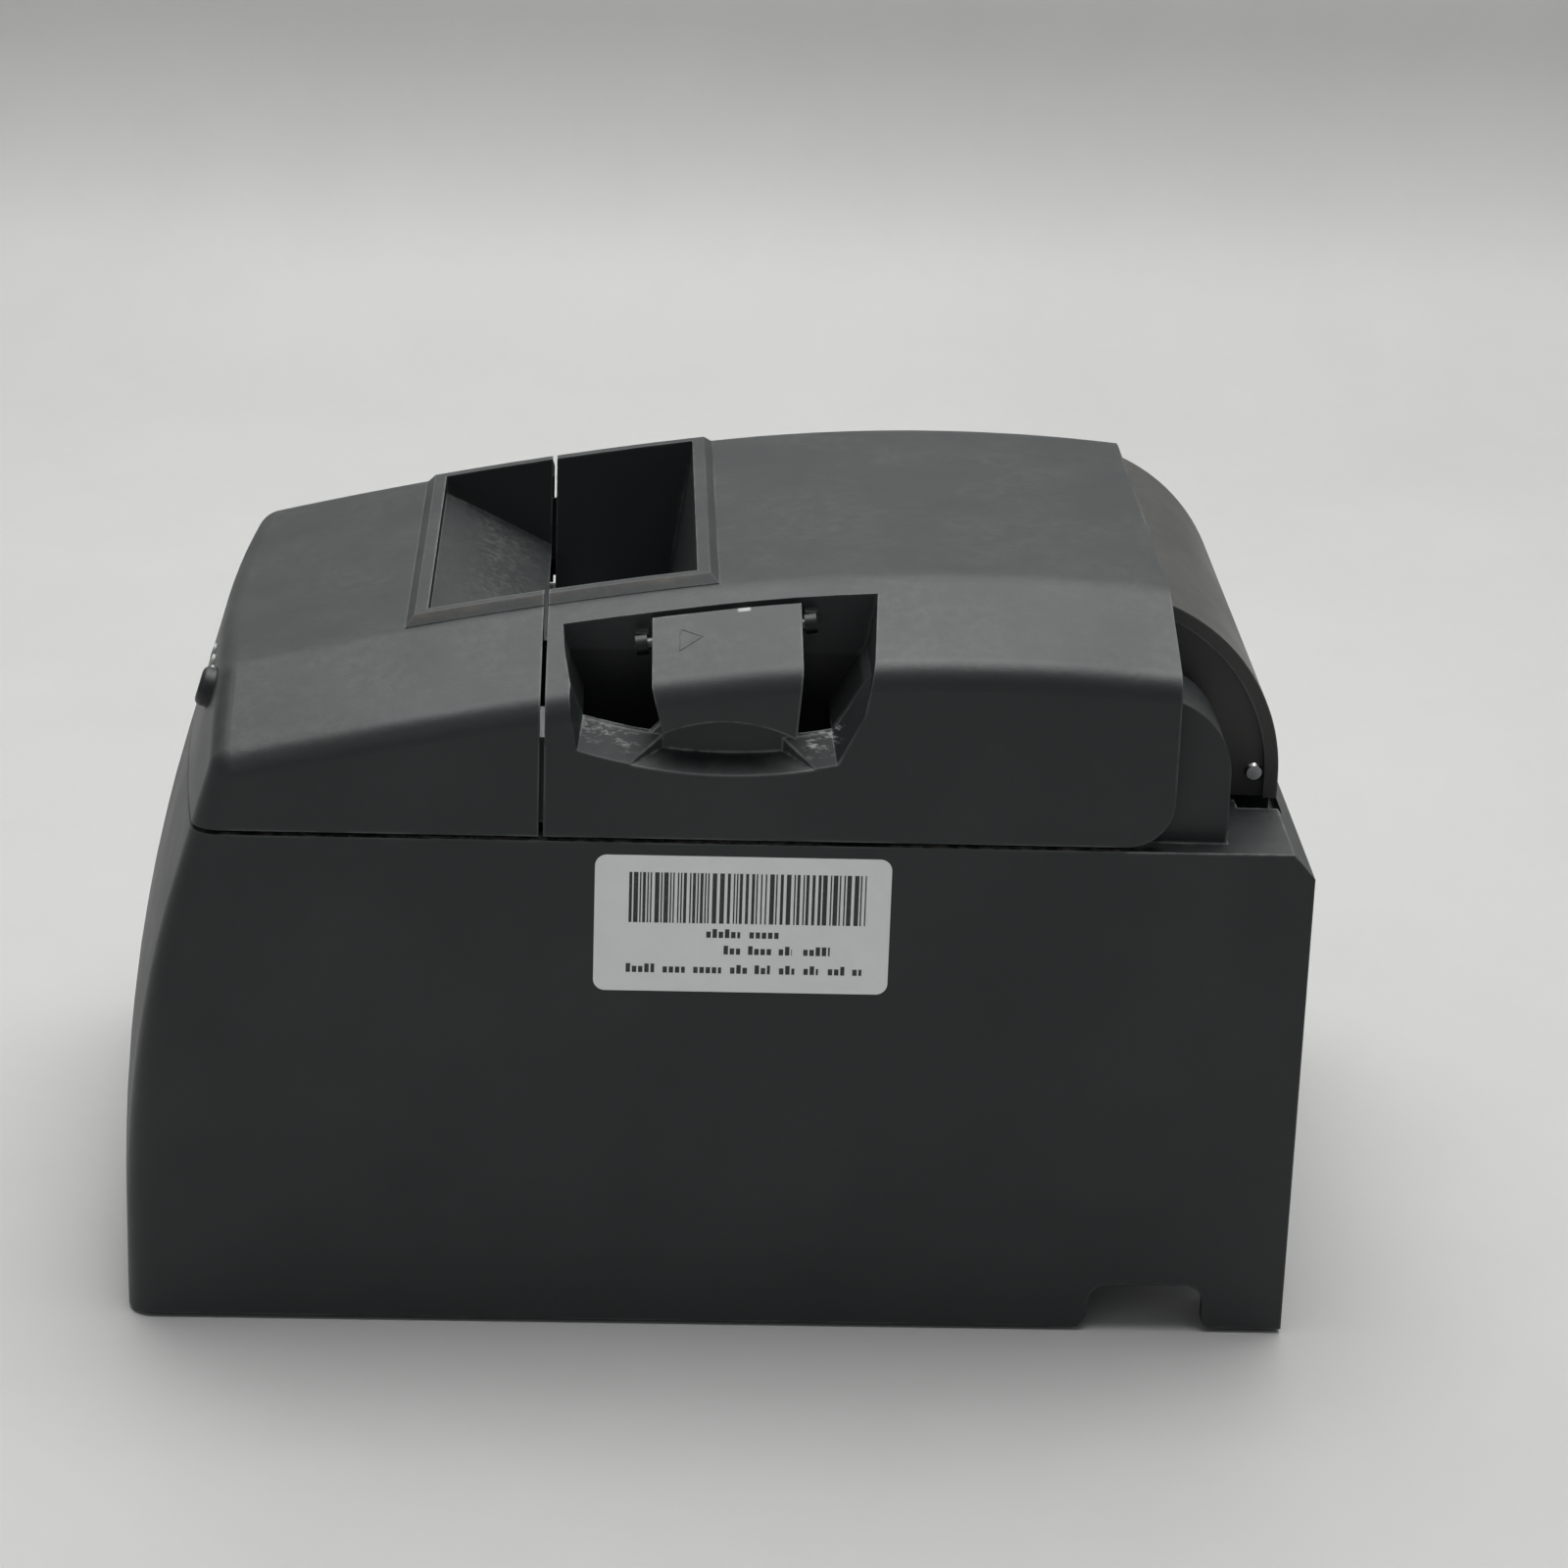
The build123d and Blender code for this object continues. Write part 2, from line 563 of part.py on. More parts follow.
def rear_cover():
    """The hinged cover with the deep half of the exit and the lever scoop."""
    body = covers_with_exit(False)
    floor_half = EXIT_HALF_W + EXIT_WALL
    slot_y = SHUT_Y + SLOT_W
    body -= block(-floor_half, floor_half, SHUT_Y - 1, slot_y, EXIT_FLOOR_Z - 3, EXIT_FLOOR_Z + 0.01)
    body &= block(-HALF_W, HALF_W, SHUT_Y + SHUT_GAP / 2, COVER_REAR_Y, COVER_Z - 1, HEIGHT + 20)
    low = [e for e in body.edges() if e.center().Y > COVER_REAR_Y - 0.1 and e.center().Z < COVER_Z + 0.1]
    body = fillet(low, COVER_FOOT_R)
    body += scoop_block() & cover_form(SKIN - 0.1, HALF_W - SKIN + 0.1, SKIN, COVER_Z)
    body -= scoop_space()
    body -= latch_slot()
    body += lever_brackets()
    for x, y in FRAME_SCREWS:
        top = band_z(0, y) - SKIN + 1.0
        body += rod_z(FRAME_TOP_Z, top, x, y, 3.0) - rod_z(FRAME_TOP_Z - 1, FRAME_TOP_Z + 7, x, y, SCREW_R)
    return body


def scoop_side(z):
    """Y of the front and rear edges of the scoop at height z, above its corners."""
    front = SCOOP_FRONT_Y - (z - SCOOP_FRONT_Z) * SCOOP_LEAN
    return front, SCOOP_KNEE_Y + (z - SCOOP_KNEE_Z) * SCOOP_LEAN


def scoop_edge_z(y):
    """Height of the scoop's curved outer edge at y."""
    half = (SCOOP_REAR_Y - SCOOP_FRONT_Y) / 2
    share = (y - SCOOP_FRONT_Y - half) / half
    rise = (SCOOP_FRONT_Z + SCOOP_REAR_Z) / 2 - SCOOP_MIDDLE_Z
    return SCOOP_MIDDLE_Z + (SCOOP_REAR_Z - SCOOP_FRONT_Z) / 2 * share + rise * share**2


def curved_face(x, corner0, corner1, lift, above):
    """A face at x: a curved edge between two corner Ys, raised by lift, and the points above."""
    middle = (corner0 + corner1) / 2
    low = [(y, scoop_edge_z(y) + lift) for y in (corner0, middle, corner1)]
    sides = Polyline(low[2], *above, low[0])
    return Pos(x, 0, 0) * (Plane.YZ * make_face([ThreePointArc(*low), sides]))


def scoop_section(x, lift, inset):
    """The scoop's section at x, its curved edge raised by lift and narrowed by inset."""
    high = HEIGHT + 10.0
    front_high, rear_high = scoop_side(high)
    front_knee, rear_knee = scoop_side(SCOOP_KNEE_Z + 7.0)
    above = [(rear_knee, SCOOP_KNEE_Z + 7.0), (rear_high, high), (front_high, high)]
    above.append((front_knee, SCOOP_KNEE_Z + 7.0))
    if not inset:
        above[0] = (SCOOP_KNEE_Y, SCOOP_KNEE_Z)
    return curved_face(x, SCOOP_FRONT_Y + inset, SCOOP_REAR_Y - inset, lift, above)


def scoop_block():
    """The solid behind the side of the cover that the scoop is cut from."""
    high = HEIGHT + 10.0
    front_high, rear_high = scoop_side(high)
    low = SCOOP_FLOOR_Z - SCOOP_WALL
    front, rear = SCOOP_FRONT_Y - SCOOP_WALL, SCOOP_KNEE_Y + SCOOP_WALL
    outline = [(front_high - SCOOP_WALL, high), (front, SCOOP_FRONT_Z), (front, low), (rear, low)]
    outline += [(rear, SCOOP_KNEE_Z), (rear_high + SCOOP_WALL, high)]
    return slab_x(outline, SCOOP_TOP_X - SCOOP_WALL, HALF_W - SKIN + 0.1)


def scoop_space():
    """The whole finger scoop: sloping sill, deep void, and finger hollow."""
    sill_x = HALF_W - SILL_W
    past = 0.6
    inset = 1.0
    outer = scoop_section(HALF_W + past, -past * SILL_RISE / SILL_W, 0.0)
    space = loft([outer, scoop_section(sill_x, SILL_RISE, inset)], ruled=True)
    front, rear = SCOOP_FRONT_Y + inset, SCOOP_REAR_Y - inset
    high = HEIGHT + 10.0
    front_high, rear_high = scoop_side(high)
    front_knee, rear_knee = scoop_side(SCOOP_KNEE_Z + 7.0)
    upper = [(front_high, high), (front_knee, SCOOP_KNEE_Z + 7.0), (front, scoop_edge_z(front) + SILL_RISE)]
    lower = [(rear, scoop_edge_z(rear) + SILL_RISE), (rear_knee, SCOOP_KNEE_Z + 7.0), (rear_high, high)]
    deep = [(front, SCOOP_FLOOR_Z), (rear, SCOOP_FLOOR_Z)]
    space += slab_x(upper + deep + lower, SCOOP_TOP_X, sill_x - SCOOP_WALL)
    wall = scoop_section(sill_x - SCOOP_WALL - 0.01, SILL_RISE, inset)
    space += extrude(wall, SCOOP_WALL + 0.02, dir=(1, 0, 0))
    return space - hollow_wall(sill_x) + finger_hollow(sill_x)


def hollow_wall(x):
    """The raised middle of the sill, the back of the finger hollow."""
    y0, y1 = LEVER_FRONT_Y - 1.0, LEVER_REAR_Y
    shoulder = 4.0
    low = SCOOP_FLOOR_Z
    outline = [(y0, low), (y1, low), (y1, SCOOP_MIDDLE_Z + SILL_RISE), (y1 - shoulder, HOLLOW_TOP_Z)]
    outline += [(y0 + shoulder, HOLLOW_TOP_Z), (y0, SCOOP_MIDDLE_Z + SILL_RISE)]
    return slab_x(outline, x - SCOOP_WALL, x)


def finger_hollow(x):
    """The sloping hollow in the middle of the sill, under the lever."""
    y0, y1 = LEVER_FRONT_Y - 4.0, LEVER_REAR_Y + 3.0
    top = SCOOP_MIDDLE_Z + 12.0
    taper = 6.0
    near = curved_face(HALF_W + 0.5, y0, y1, -0.5, [(y1, top), (y0, top)])
    y0, y1 = y0 + taper, y1 - taper
    far = curved_face(x, y0, y1, SILL_RISE / 2, [(y1, top), (y0, top)])
    return loft([near, far], ruled=True)


# ------------------------------------------------------------------- the lever
def lever_axis():
    """Point and direction of the lever's hinge, level with the cover's top."""
    x = LEVER_TOP_X + 1.7
    z0 = band_z(LEVER_TOP_X, LEVER_FRONT_Y) - LEVER_AXIS_DROP
    z1 = band_z(LEVER_TOP_X, LEVER_REAR_Y) - LEVER_AXIS_DROP - 0.3
    start, end = Vector(x, LEVER_FRONT_Y, z0), Vector(x, LEVER_REAR_Y, z1)
    return start, end


def along_lever(start_gap, end_gap, radius):
    """A round bar on the lever's axis, from past one end to past the other."""
    start, end = lever_axis()
    direction = (end - start).normalized()
    first = start - direction * start_gap
    length = (end - start).length + start_gap + end_gap
    plane = Plane(origin=first, z_dir=direction)
    return plane * Pos(0, 0, length / 2) * Cylinder(radius, length)


def lever_brackets():
    """Two lugs of the cover that hold the lever's pin."""
    start, end = lever_axis()
    inner = -(end - start).length - LUG_GAP
    outer = LUG_GAP + LUG_LENGTH
    front, rear = along_lever(outer, inner, LUG_R), along_lever(inner, outer, LUG_R)
    y0, y1 = LEVER_FRONT_Y - outer, LEVER_REAR_Y + outer
    wall = block(SCOOP_TOP_X - 0.5, LEVER_TOP_X + 0.8, y0, y1, SPLIT_Z, HEIGHT)
    form = Part()
    for lug in (front, rear):
        span = lug.bounding_box()
        y0, y1 = span.min.Y + 0.2, span.max.Y - 0.2
        form += lug + (wall & block(0, HALF_W, y0, y1, span.min.Z + 0.2, span.max.Z - 0.2))
    return form - along_lever(5, 5, LEVER_PIN_R)


def release_lever():
    """The lever: a shaped skin that follows the cover, its hub and its latch."""
    outside = cover_outside()
    inside = cover_form(LEVER_T, HALF_W - LEVER_T, SKIN, COVER_Z - 5)
    middle = (LEVER_FRONT_Y + LEVER_REAR_Y) / 2
    outline = [
        (LEVER_FRONT_Y, HEIGHT + 5),
        (LEVER_FRONT_Y, SPLIT_Z + 27),
        (LEVER_FRONT_Y + 2.4, LEVER_LOW_Z - 0.6),
        (LEVER_REAR_Y - 0.8, LEVER_LOW_Z + 0.6),
        (LEVER_REAR_Y, SPLIT_Z + 30),
        (LEVER_REAR_Y, HEIGHT + 5),
    ]
    window = slab_x(outline, LEVER_TOP_X, HALF_W + 1)
    half = (LEVER_REAR_Y - LEVER_FRONT_Y) / 2
    arc_r = (half**2 + LEVER_ARC_RISE**2) / (2 * LEVER_ARC_RISE)
    window -= rod_x(LEVER_TOP_X, HALF_W + 2, middle, LEVER_LOW_Z + LEVER_ARC_RISE - arc_r, arc_r)
    skin = (outside & window) - inside
    space = LEVER_SPRING_SPACE - 0.7
    span = LEVER_REAR_Y - LEVER_FRONT_Y
    skin -= along_lever(-span + space, 2, LEVER_HUB_R - 0.3)
    hub = along_lever(-0.4, -space, LEVER_HUB_R)
    x0, x1 = LEVER_TOP_X + 0.7, LEVER_TOP_X + 2.7
    leg = block(x0, x1, CATCH_Y + 1.7, CATCH_Y + 8.7, CATCH_Z - 2.5, SPLIT_Z + 31)
    nose_x = CHASSIS_OUT + CATCH_LENGTH + BODY_GAP
    nose = block(nose_x, x1, CATCH_Y - 1.5, CATCH_Y + 8.7, CATCH_Z - 4, CATCH_Z - 2.2)
    body = skin + hub + leg + nose
    return body - along_lever(5, 5, LEVER_PIN_R + RUN_CLEAR)


def latch_slot():
    """The slot in the scoop's floor for the lever's latch leg."""
    low, high = SCOOP_FLOOR_Z - SCOOP_WALL - 1, SCOOP_FLOOR_Z + 1
    return block(SCOOP_TOP_X, HALF_W - 4, CATCH_Y - 2.3, CATCH_Y + 9.7, low, high)


# ------------------------------------------------------------ cover-side parts
def roll_shell():
    """The curved shell over the paper roll, with its side plates."""
    tube = rod_x(-SHELL_HALF_W, SHELL_HALF_W, SHELL_Y, SHELL_Z, SHELL_R)
    hole = rod_x(-SHELL_HALF_W - 1, SHELL_HALF_W + 1, SHELL_Y, SHELL_Z, SHELL_R - SHELL_T)
    side = SHELL_HALF_W
    top_y = COVER_REAR_Y + 0.5
    shell = (tube - hole) & block(-side, side, top_y, REAR_Y, SHELL_Z, HEIGHT)
    shell += block(-side, side, SHELL_Y + SHELL_R - SHELL_T, SHELL_Y + SHELL_R, SHELL_FOOT_Z, SHELL_Z)
    lip = rod_x(-side, side, SHELL_Y, SHELL_Z, LIP_R) - hole
    shell += lip & block(-side, side, SHELL_LIP_Y, top_y + 2, SHELL_Z, HEIGHT)
    disc = rod_x(PLATE_IN, PLATE_OUT, SHELL_Y, SHELL_Z, SHELL_R - SHELL_T / 2)
    small = rod_x(PLATE_IN, PLATE_OUT, SHELL_Y, SHELL_Z, SHELL_R - SHELL_T)
    plate = disc & block(PLATE_IN, PLATE_OUT, top_y, REAR_Y, SHELL_Z, HEIGHT)
    plate += small & block(PLATE_IN, PLATE_OUT, SHELL_Y - 8, REAR_Y, SHELL_Z, HEIGHT)
    plate += block(PLATE_IN, PLATE_OUT, SHELL_Y - 8, SHELL_Y + SHELL_R - SHELL_T / 2, SHELL_FOOT_Z, SHELL_Z)
    shell += both_sides(plate)
    shell -= rod_x(-side, side, HINGE_Y, HINGE_Z, PIN_R)
    space = 0.5
    for x in (KNUCKLE_X, -KNUCKLE_X - KNUCKLE_W):
        notch = (x - space, x + KNUCKLE_W + space, HINGE_Y - KNUCKLE_R, REAR_Y)
        shell -= block(*notch, SHELL_FOOT_Z - 1, HINGE_Z + KNUCKLE_R + 1.2)
    return shell


def hinge_shaft():
    """The steel shaft that carries the cover."""
    end = PLATE_OUT + 0.8
    shaft = rod_x(-end, end, HINGE_Y, HINGE_Z, PIN_R)
    return chamfer(shaft.edges(), 0.4)


def ring_x(x0, x1, y, z, outer, inner):
    """A plain ring along X."""
    return rod_x(x0, x1, y, z, outer) - rod_x(x0 - 1, x1 + 1, y, z, inner)


def hinge_clips():
    """Two C-shaped retaining clips on the hinge shaft, open to the rear."""
    x0, x1 = PLATE_IN - 1.2, PLATE_IN - 0.2
    clip = ring_x(x0, x1, HINGE_Y, HINGE_Z, 3.2, PIN_R)
    clip -= block(x0 - 1, x1 + 1, HINGE_Y + 1.2, HINGE_Y + 5, HINGE_Z - 5, HINGE_Z + 5)
    return pair(clip)


def inner_frame():
    """The frame under the cover that holds the platen."""
    x0, x1 = EXIT_HALF_W + EXIT_WALL + 0.2, EXIT_HALF_W + EXIT_WALL + 1.6
    outline = [
        (PLATEN_Y - 6.6, PLATEN_Z - 6.5),
        (PLATEN_Y + 7.0, PLATEN_Z - 6.5),
        (PLATEN_Y + 11.0, COVER_Z + 0.3),
        (SHUT_Y + 50.0, COVER_Z + 0.3),
        (SHUT_Y + 50.0, FRAME_TOP_Z),
        (PLATEN_Y - 6.6, FRAME_TOP_Z),
    ]
    arm = slab_x(outline, x0, x1) - rod_x(x0 - 1, x1 + 1, PLATEN_Y, PLATEN_Z, BUSH_R)
    plate_z = FRAME_TOP_Z - 1.4
    deck = block(-x1, x1, SHUT_Y + EXIT_REAR + 4, SHUT_Y + 50, plate_z, FRAME_TOP_Z)
    guide = block(-x1, x1, PLATEN_Y + 8, PLATEN_Y + 12, COVER_Z + 0.3, COVER_Z + 1.7)
    frame = both_sides(arm) + deck + guide
    for x, y in FRAME_SCREWS:
        frame -= rod_z(plate_z - 1, FRAME_TOP_Z + 1, x, y, SCREW_R + 0.2)
    return frame


def screw(x, y, z, length, up=True):
    """A pan-head screw; up means that the shank points up from the head."""
    head_r, head_h = SCREW_R * 2.2, SCREW_R * 1.3
    sign = 1 if up else -1
    head = rod_z(z - sign * head_h, z, x, y, head_r)
    shank = rod_z(z, z + sign * length, x, y, SCREW_R)
    cross = block(x - 1.4, x + 1.4, y - 0.3, y + 0.3, z - sign * head_h, z - sign * head_h * 0.5)
    cross += block(x - 0.3, x + 0.3, y - 1.4, y + 1.4, z - sign * head_h, z - sign * head_h * 0.5)
    return head + shank - cross


def frame_screws():
    """Screws from the inner frame up into the cover's posts."""
    return Compound(children=[screw(x, y, FRAME_TOP_Z - 1.4, 6.0) for x, y in FRAME_SCREWS])


def fixed_blade():
    """The cutter's fixed blade, on the cover."""
    z = BLADE_Z + BLADE_T + BODY_GAP
    y0 = SHUT_Y + SLOT_W - 0.7
    return block(-EXIT_HALF_W, EXIT_HALF_W, y0, y0 + 10, z, EXIT_FLOOR_Z - EXIT_WALL)


def tear_bar():
    """The serrated tear bar on the floor of the recess."""
    pitch = 2.0
    count = int(EXIT_HALF_W * 2 / pitch) - 1
    start = -count * pitch / 2
    edge_y = SHUT_Y + SLOT_W - 0.4
    points = [(start, edge_y + 6)]
    for i in range(count):
        points += [(start + i * pitch, edge_y), (start + (i + 0.5) * pitch, edge_y - 0.9)]
    points += [(start + count * pitch, edge_y), (start + count * pitch, edge_y + 6)]
    return slab_z(points, EXIT_FLOOR_Z + 0.01, EXIT_FLOOR_Z + 0.7)


def platen_roller():
    """The rubber platen."""
    return ring_x(-PLATEN_HALF_W, PLATEN_HALF_W, PLATEN_Y, PLATEN_Z, PLATEN_R, SHAFT_R)


def platen_shaft():
    """The platen's steel shaft."""
    x1 = CHASSIS_OUT + 1.4
    shaft = rod_x(GEAR_X - 1, x1, PLATEN_Y, PLATEN_Z, SHAFT_R)
    return chamfer(shaft.edges(), 0.4)


def platen_bushes():
    """Two bearings held by the inner frame that drop into the chassis slots."""
    x0 = EXIT_HALF_W + EXIT_WALL + 0.2
    return pair(ring_x(x0, CHASSIS_OUT + 0.8, PLATEN_Y, PLATEN_Z, BUSH_R, SHAFT_R + RUN_CLEAR))


# ---------------------------------------------------------------------- gears
def gear_face(teeth, module, gap_up, thin=BACKLASH):
    """An involute spur gear's outline; gap_up puts a tooth gap on local +Y."""
    pitch_r = module * teeth / 2
    base_r = pitch_r * math.cos(math.radians(PRESSURE_ANGLE))
    tip_r, root_r = pitch_r + 0.95 * module, pitch_r - 1.2 * module

    def involute(radius):
        ratio = max(1.0, radius / base_r)
        return math.sqrt(ratio**2 - 1) - math.acos(1 / ratio)

    half = math.pi / (2 * teeth) - thin / (2 * pitch_r) + involute(pitch_r)
    radii = [max(base_r, root_r) + (tip_r - max(base_r, root_r)) * k / 3 for k in range(4)]
    points = []
    for tooth in range(teeth):
        middle = math.pi / 2 + 2 * math.pi * (tooth + (0.5 if gap_up else 0.0)) / teeth
        flank = [(root_r, half)] if root_r < base_r else []
        flank += [(radius, half - involute(radius)) for radius in radii]
        for radius, turn in [(r, -t) for r, t in flank] + flank[::-1]:
            points.append((radius * math.cos(middle + turn), radius * math.sin(middle + turn)))
    return make_face(Polyline(*points, close=True))


def gear_along_x(teeth, y, z, toward_deg, gap, bore, x0, x1):
    """A gear on an X shaft with a tooth (or a gap) facing toward_deg in YZ."""
    blank = extrude(Rot(0, 0, toward_deg - 90) * gear_face(teeth, MODULE, gap), x1 - x0)
    blank -= Pos(0, 0, (x1 - x0) / 2) * Cylinder(bore, x1 - x0 + 2)
    return Pos(x0, y, z) * (Plane.YZ.location * blank)


def platen_gear():
    """The platen's gear, with a tooth gap straight down."""
    return gear_along_x(PLATEN_TEETH, PLATEN_Y, PLATEN_Z, -90, True, SHAFT_R, GEAR_X, GEAR_X + GEAR_T)


def idler_gear():
    """The idler under the platen gear, with a tooth straight up."""
    bore = POST_R + RUN_CLEAR
    return gear_along_x(IDLER_TEETH, PLATEN_Y, IDLER_Z, 90, False, bore, GEAR_X, GEAR_X + GEAR_T)


def pinion_phase():
    """Direction from the pinion to the idler, and the turn that puts it in mesh."""
    toward_idler = PINION_TURN
    idler_step = 360.0 / IDLER_TEETH
    idler_at = (180.0 + PINION_TURN - 90.0) % idler_step / idler_step
    pinion_step = 360.0 / PINION_TEETH
    return toward_idler, (idler_at - 0.5) * pinion_step


def motor_pinion():
    """The pinion and the motor's shaft in one turning piece."""
    toward, phase = pinion_phase()
    turn = toward + phase
    gear = gear_along_x(PINION_TEETH, PINION_Y, PINION_Z, turn, False, 1.0, GEAR_X, GEAR_X + GEAR_T)
    shaft = rod_x(GEAR_X - 0.5, -CHASSIS_IN + 1.0, PINION_Y, PINION_Z, 1.5)
    return gear + shaft


def idler_post():
    """The steel post of the idler, riveted in the chassis."""
    post = rod_x(GEAR_X - 0.6, -CHASSIS_IN, PLATEN_Y, IDLER_Z, POST_R)
    return post + rod_x(GEAR_X - 1.6, GEAR_X - 0.5, PLATEN_Y, IDLER_Z, POST_R + 1.2)


def feed_motor():
    """The stepping motor on the inside of the left chassis plate."""
    x0 = -CHASSIS_IN
    body = rod_x(x0, x0 + MOTOR_LENGTH, PINION_Y, PINION_Z, MOTOR_R)
    rim = [e for e in body.edges() if e.center().X > x0 + 1 and e.geom_type == GeomType.CIRCLE]
    body = fillet(rim, 1.5)
    body += block(x0, x0 + 1.0, PINION_Y - 23, PINION_Y + 23, PINION_Z - 5, PINION_Z + 5)
    return body - rod_x(x0 - 1, x0 + 4, PINION_Y, PINION_Z, 1.5 + 0.3)


# -------------------------------------------------------------------- chassis
def chassis_frame():
    """The bent-steel frame: floor, two side plates, front plate, spring bar."""
    slot_r = BUSH_R + BODY_GAP
    top = SPLIT_Z - 0.5
    y0, y1 = CHASSIS_FRONT_Y, CHASSIS_REAR_Y
    low = BASE_TOP + POST_H
    outline = [(y0, low), (y1, low), (y1, SPLIT_Z - 12), (PLATEN_Y + 14, SPLIT_Z - 12)]
    outline += [(PLATEN_Y + 10, top), (y0, top)]
    side = slab_x(outline, CHASSIS_IN, CHASSIS_OUT)
    side -= rod_x(CHASSIS_IN - 1, CHASSIS_OUT + 1, PLATEN_Y, PLATEN_Z, slot_r)
    lead = [
        (PLATEN_Y - slot_r, PLATEN_Z),
        (PLATEN_Y + slot_r, PLATEN_Z),
        (PLATEN_Y + slot_r + 1.2, top + 1),
        (PLATEN_Y - slot_r - 1.6, top + 1),
    ]
    side -= slab_x(lead, CHASSIS_IN - 1, CHASSIS_OUT + 1)
    side -= rod_x(CHASSIS_IN - 1, CHASSIS_OUT + 1, HEAD_PIN_Y, HEAD_PIN_Z, HEAD_PIN_R)
    frame = both_sides(side)
    tower = block(CHASSIS_IN, CHASSIS_OUT, CATCH_Y - 5, CATCH_Y + 5, SPLIT_Z - 14, CATCH_Z + 4)
    frame += tower
    frame += block(-CHASSIS_IN, CHASSIS_IN, y0, y1 - 30, BASE_TOP + POST_H, BASE_TOP + POST_H + CHASSIS_T)
    frame += block(-CHASSIS_IN, CHASSIS_IN, y0, y0 + CHASSIS_T, BASE_TOP + POST_H, SPLIT_Z - 22)
    bar_y = SPRING_BAR_Y
    frame += block(-CHASSIS_IN, CHASSIS_IN, bar_y - CHASSIS_T, bar_y, PLATEN_Z - 12, PLATEN_Z + 4)
    for x, y in CHASSIS_POSTS:
        frame += rod_z(BASE_TOP, BASE_TOP + POST_H + 0.1, x, y, 3.0)
        frame -= rod_z(BASE_TOP - 1, BASE_TOP + 9, x, y, SCREW_R)
    cable_y = SHUT_Y - 26
    frame -= block(-11, 13, cable_y - 3, cable_y + 3, BASE_TOP + POST_H - 1, BASE_TOP + POST_H + 2)
    frame -= rod_x(-CHASSIS_OUT - 1, -CHASSIS_IN + 0.01, PINION_Y, PINION_Z, 2.5)
    frame -= rod_x(-CHASSIS_OUT - 1, -CHASSIS_IN + 0.01, PLATEN_Y, IDLER_Z, POST_R)
    return frame


def latch_catch():
    """The stud that the lever's hook swings under."""
    stud = rod_x(CHASSIS_OUT, CHASSIS_OUT + CATCH_LENGTH, CATCH_Y, CATCH_Z, 1.5)
    return chamfer([e for e in stud.edges() if e.center().X > CHASSIS_OUT + 1], 0.4)


def paper_tray():
    """The round-bottomed tray for the paper roll, with its front lip."""
    outer_r, side = TRAY_R + TRAY_T, TRAY_HALF_W + TRAY_T
    rim = SPLIT_Z - 2.0
    outer = rod_x(-side, side, TRAY_Y, TRAY_Z, outer_r) & block(-side, side, 0, REAR_Y, 0, TRAY_Z)
    outer += block(-side, side, TRAY_Y - outer_r, TRAY_Y + outer_r, TRAY_Z, rim)
    inner = rod_x(-TRAY_HALF_W, TRAY_HALF_W, TRAY_Y, TRAY_Z, TRAY_R)
    inner += block(-TRAY_HALF_W, TRAY_HALF_W, TRAY_Y - TRAY_R, TRAY_Y + TRAY_R, TRAY_Z, rim + 1)
    tray = outer - inner
    lip_y = TRAY_Y - outer_r
    tray -= block(-TRAY_HALF_W, TRAY_HALF_W, lip_y - 1, lip_y + 3, PLATEN_Z, rim + 1)
    tray += block(-TRAY_HALF_W, TRAY_HALF_W, PLATEN_Y + 8, lip_y + 2.2, PLATEN_Z - 3.4, PLATEN_Z - 1.9)
    for y, z in TRAY_LEGS:
        ledge = block(side - 0.1, side + 7, y - 4, y + 4, TRAY_Z - 30, TRAY_Z - 27)
        leg = rod_z(z, TRAY_Z - 29, side + 3.5, y, 3.0) - rod_z(z - 1, z + 7, side + 3.5, y, SCREW_R)
        tray += both_sides(ledge + leg)
    return tray


# --------------------------------------------------------------- thermal head
def thermal_head():
    """The thermal print head's ceramic strip and its small board."""
    y1 = HEAD_FACE_Y
    strip = block(-HEAD_HALF_W, HEAD_HALF_W, y1 - HEAD_T, y1, PLATEN_Z - 6, PLATEN_Z + 3)
    chips = HEAD_HALF_W - 3
    driver = block(-chips, chips, y1 - HEAD_T, y1 - 0.2, PLATEN_Z - 10.5, PLATEN_Z - 6.5)
    board = block(-HEAD_HALF_W, HEAD_HALF_W, y1 - HEAD_T, y1 - 0.5, PLATEN_Z - 11, PLATEN_Z - 5)
    return strip + driver + board


def head_heatsink():
    """The aluminium block behind the head, bored for its pivot pin."""
    y1 = HEAD_FACE_Y - HEAD_T
    y0 = y1 - SINK_T
    sink = block(-HEAD_HALF_W, HEAD_HALF_W, y0, y1, HEAD_PIN_Z - 3.2, PLATEN_Z + 5.5)
    for i in range(-9, 10):
        sink -= block(i * 4 - 0.8, i * 4 + 0.8, y0 - 1, y0 + 2, HEAD_PIN_Z + 5, PLATEN_Z - 3)
    return sink - rod_x(-HALF_W, HALF_W, HEAD_PIN_Y, HEAD_PIN_Z, HEAD_PIN_R + RUN_CLEAR)


def head_pivot_pin():
    """The pin on which the head rocks."""
    end = CHASSIS_OUT + 0.6
    return rod_x(-end, end, HEAD_PIN_Y, HEAD_PIN_Z, HEAD_PIN_R)


def coil(radius, wire_r, length, turns, plane):
    """A coil spring wound along the plane's normal."""
    path = Helix(length / turns, length, radius)
    section = Plane(origin=path @ 0, z_dir=path % 0) * Circle(wire_r)
    return plane * sweep(section, path=path)


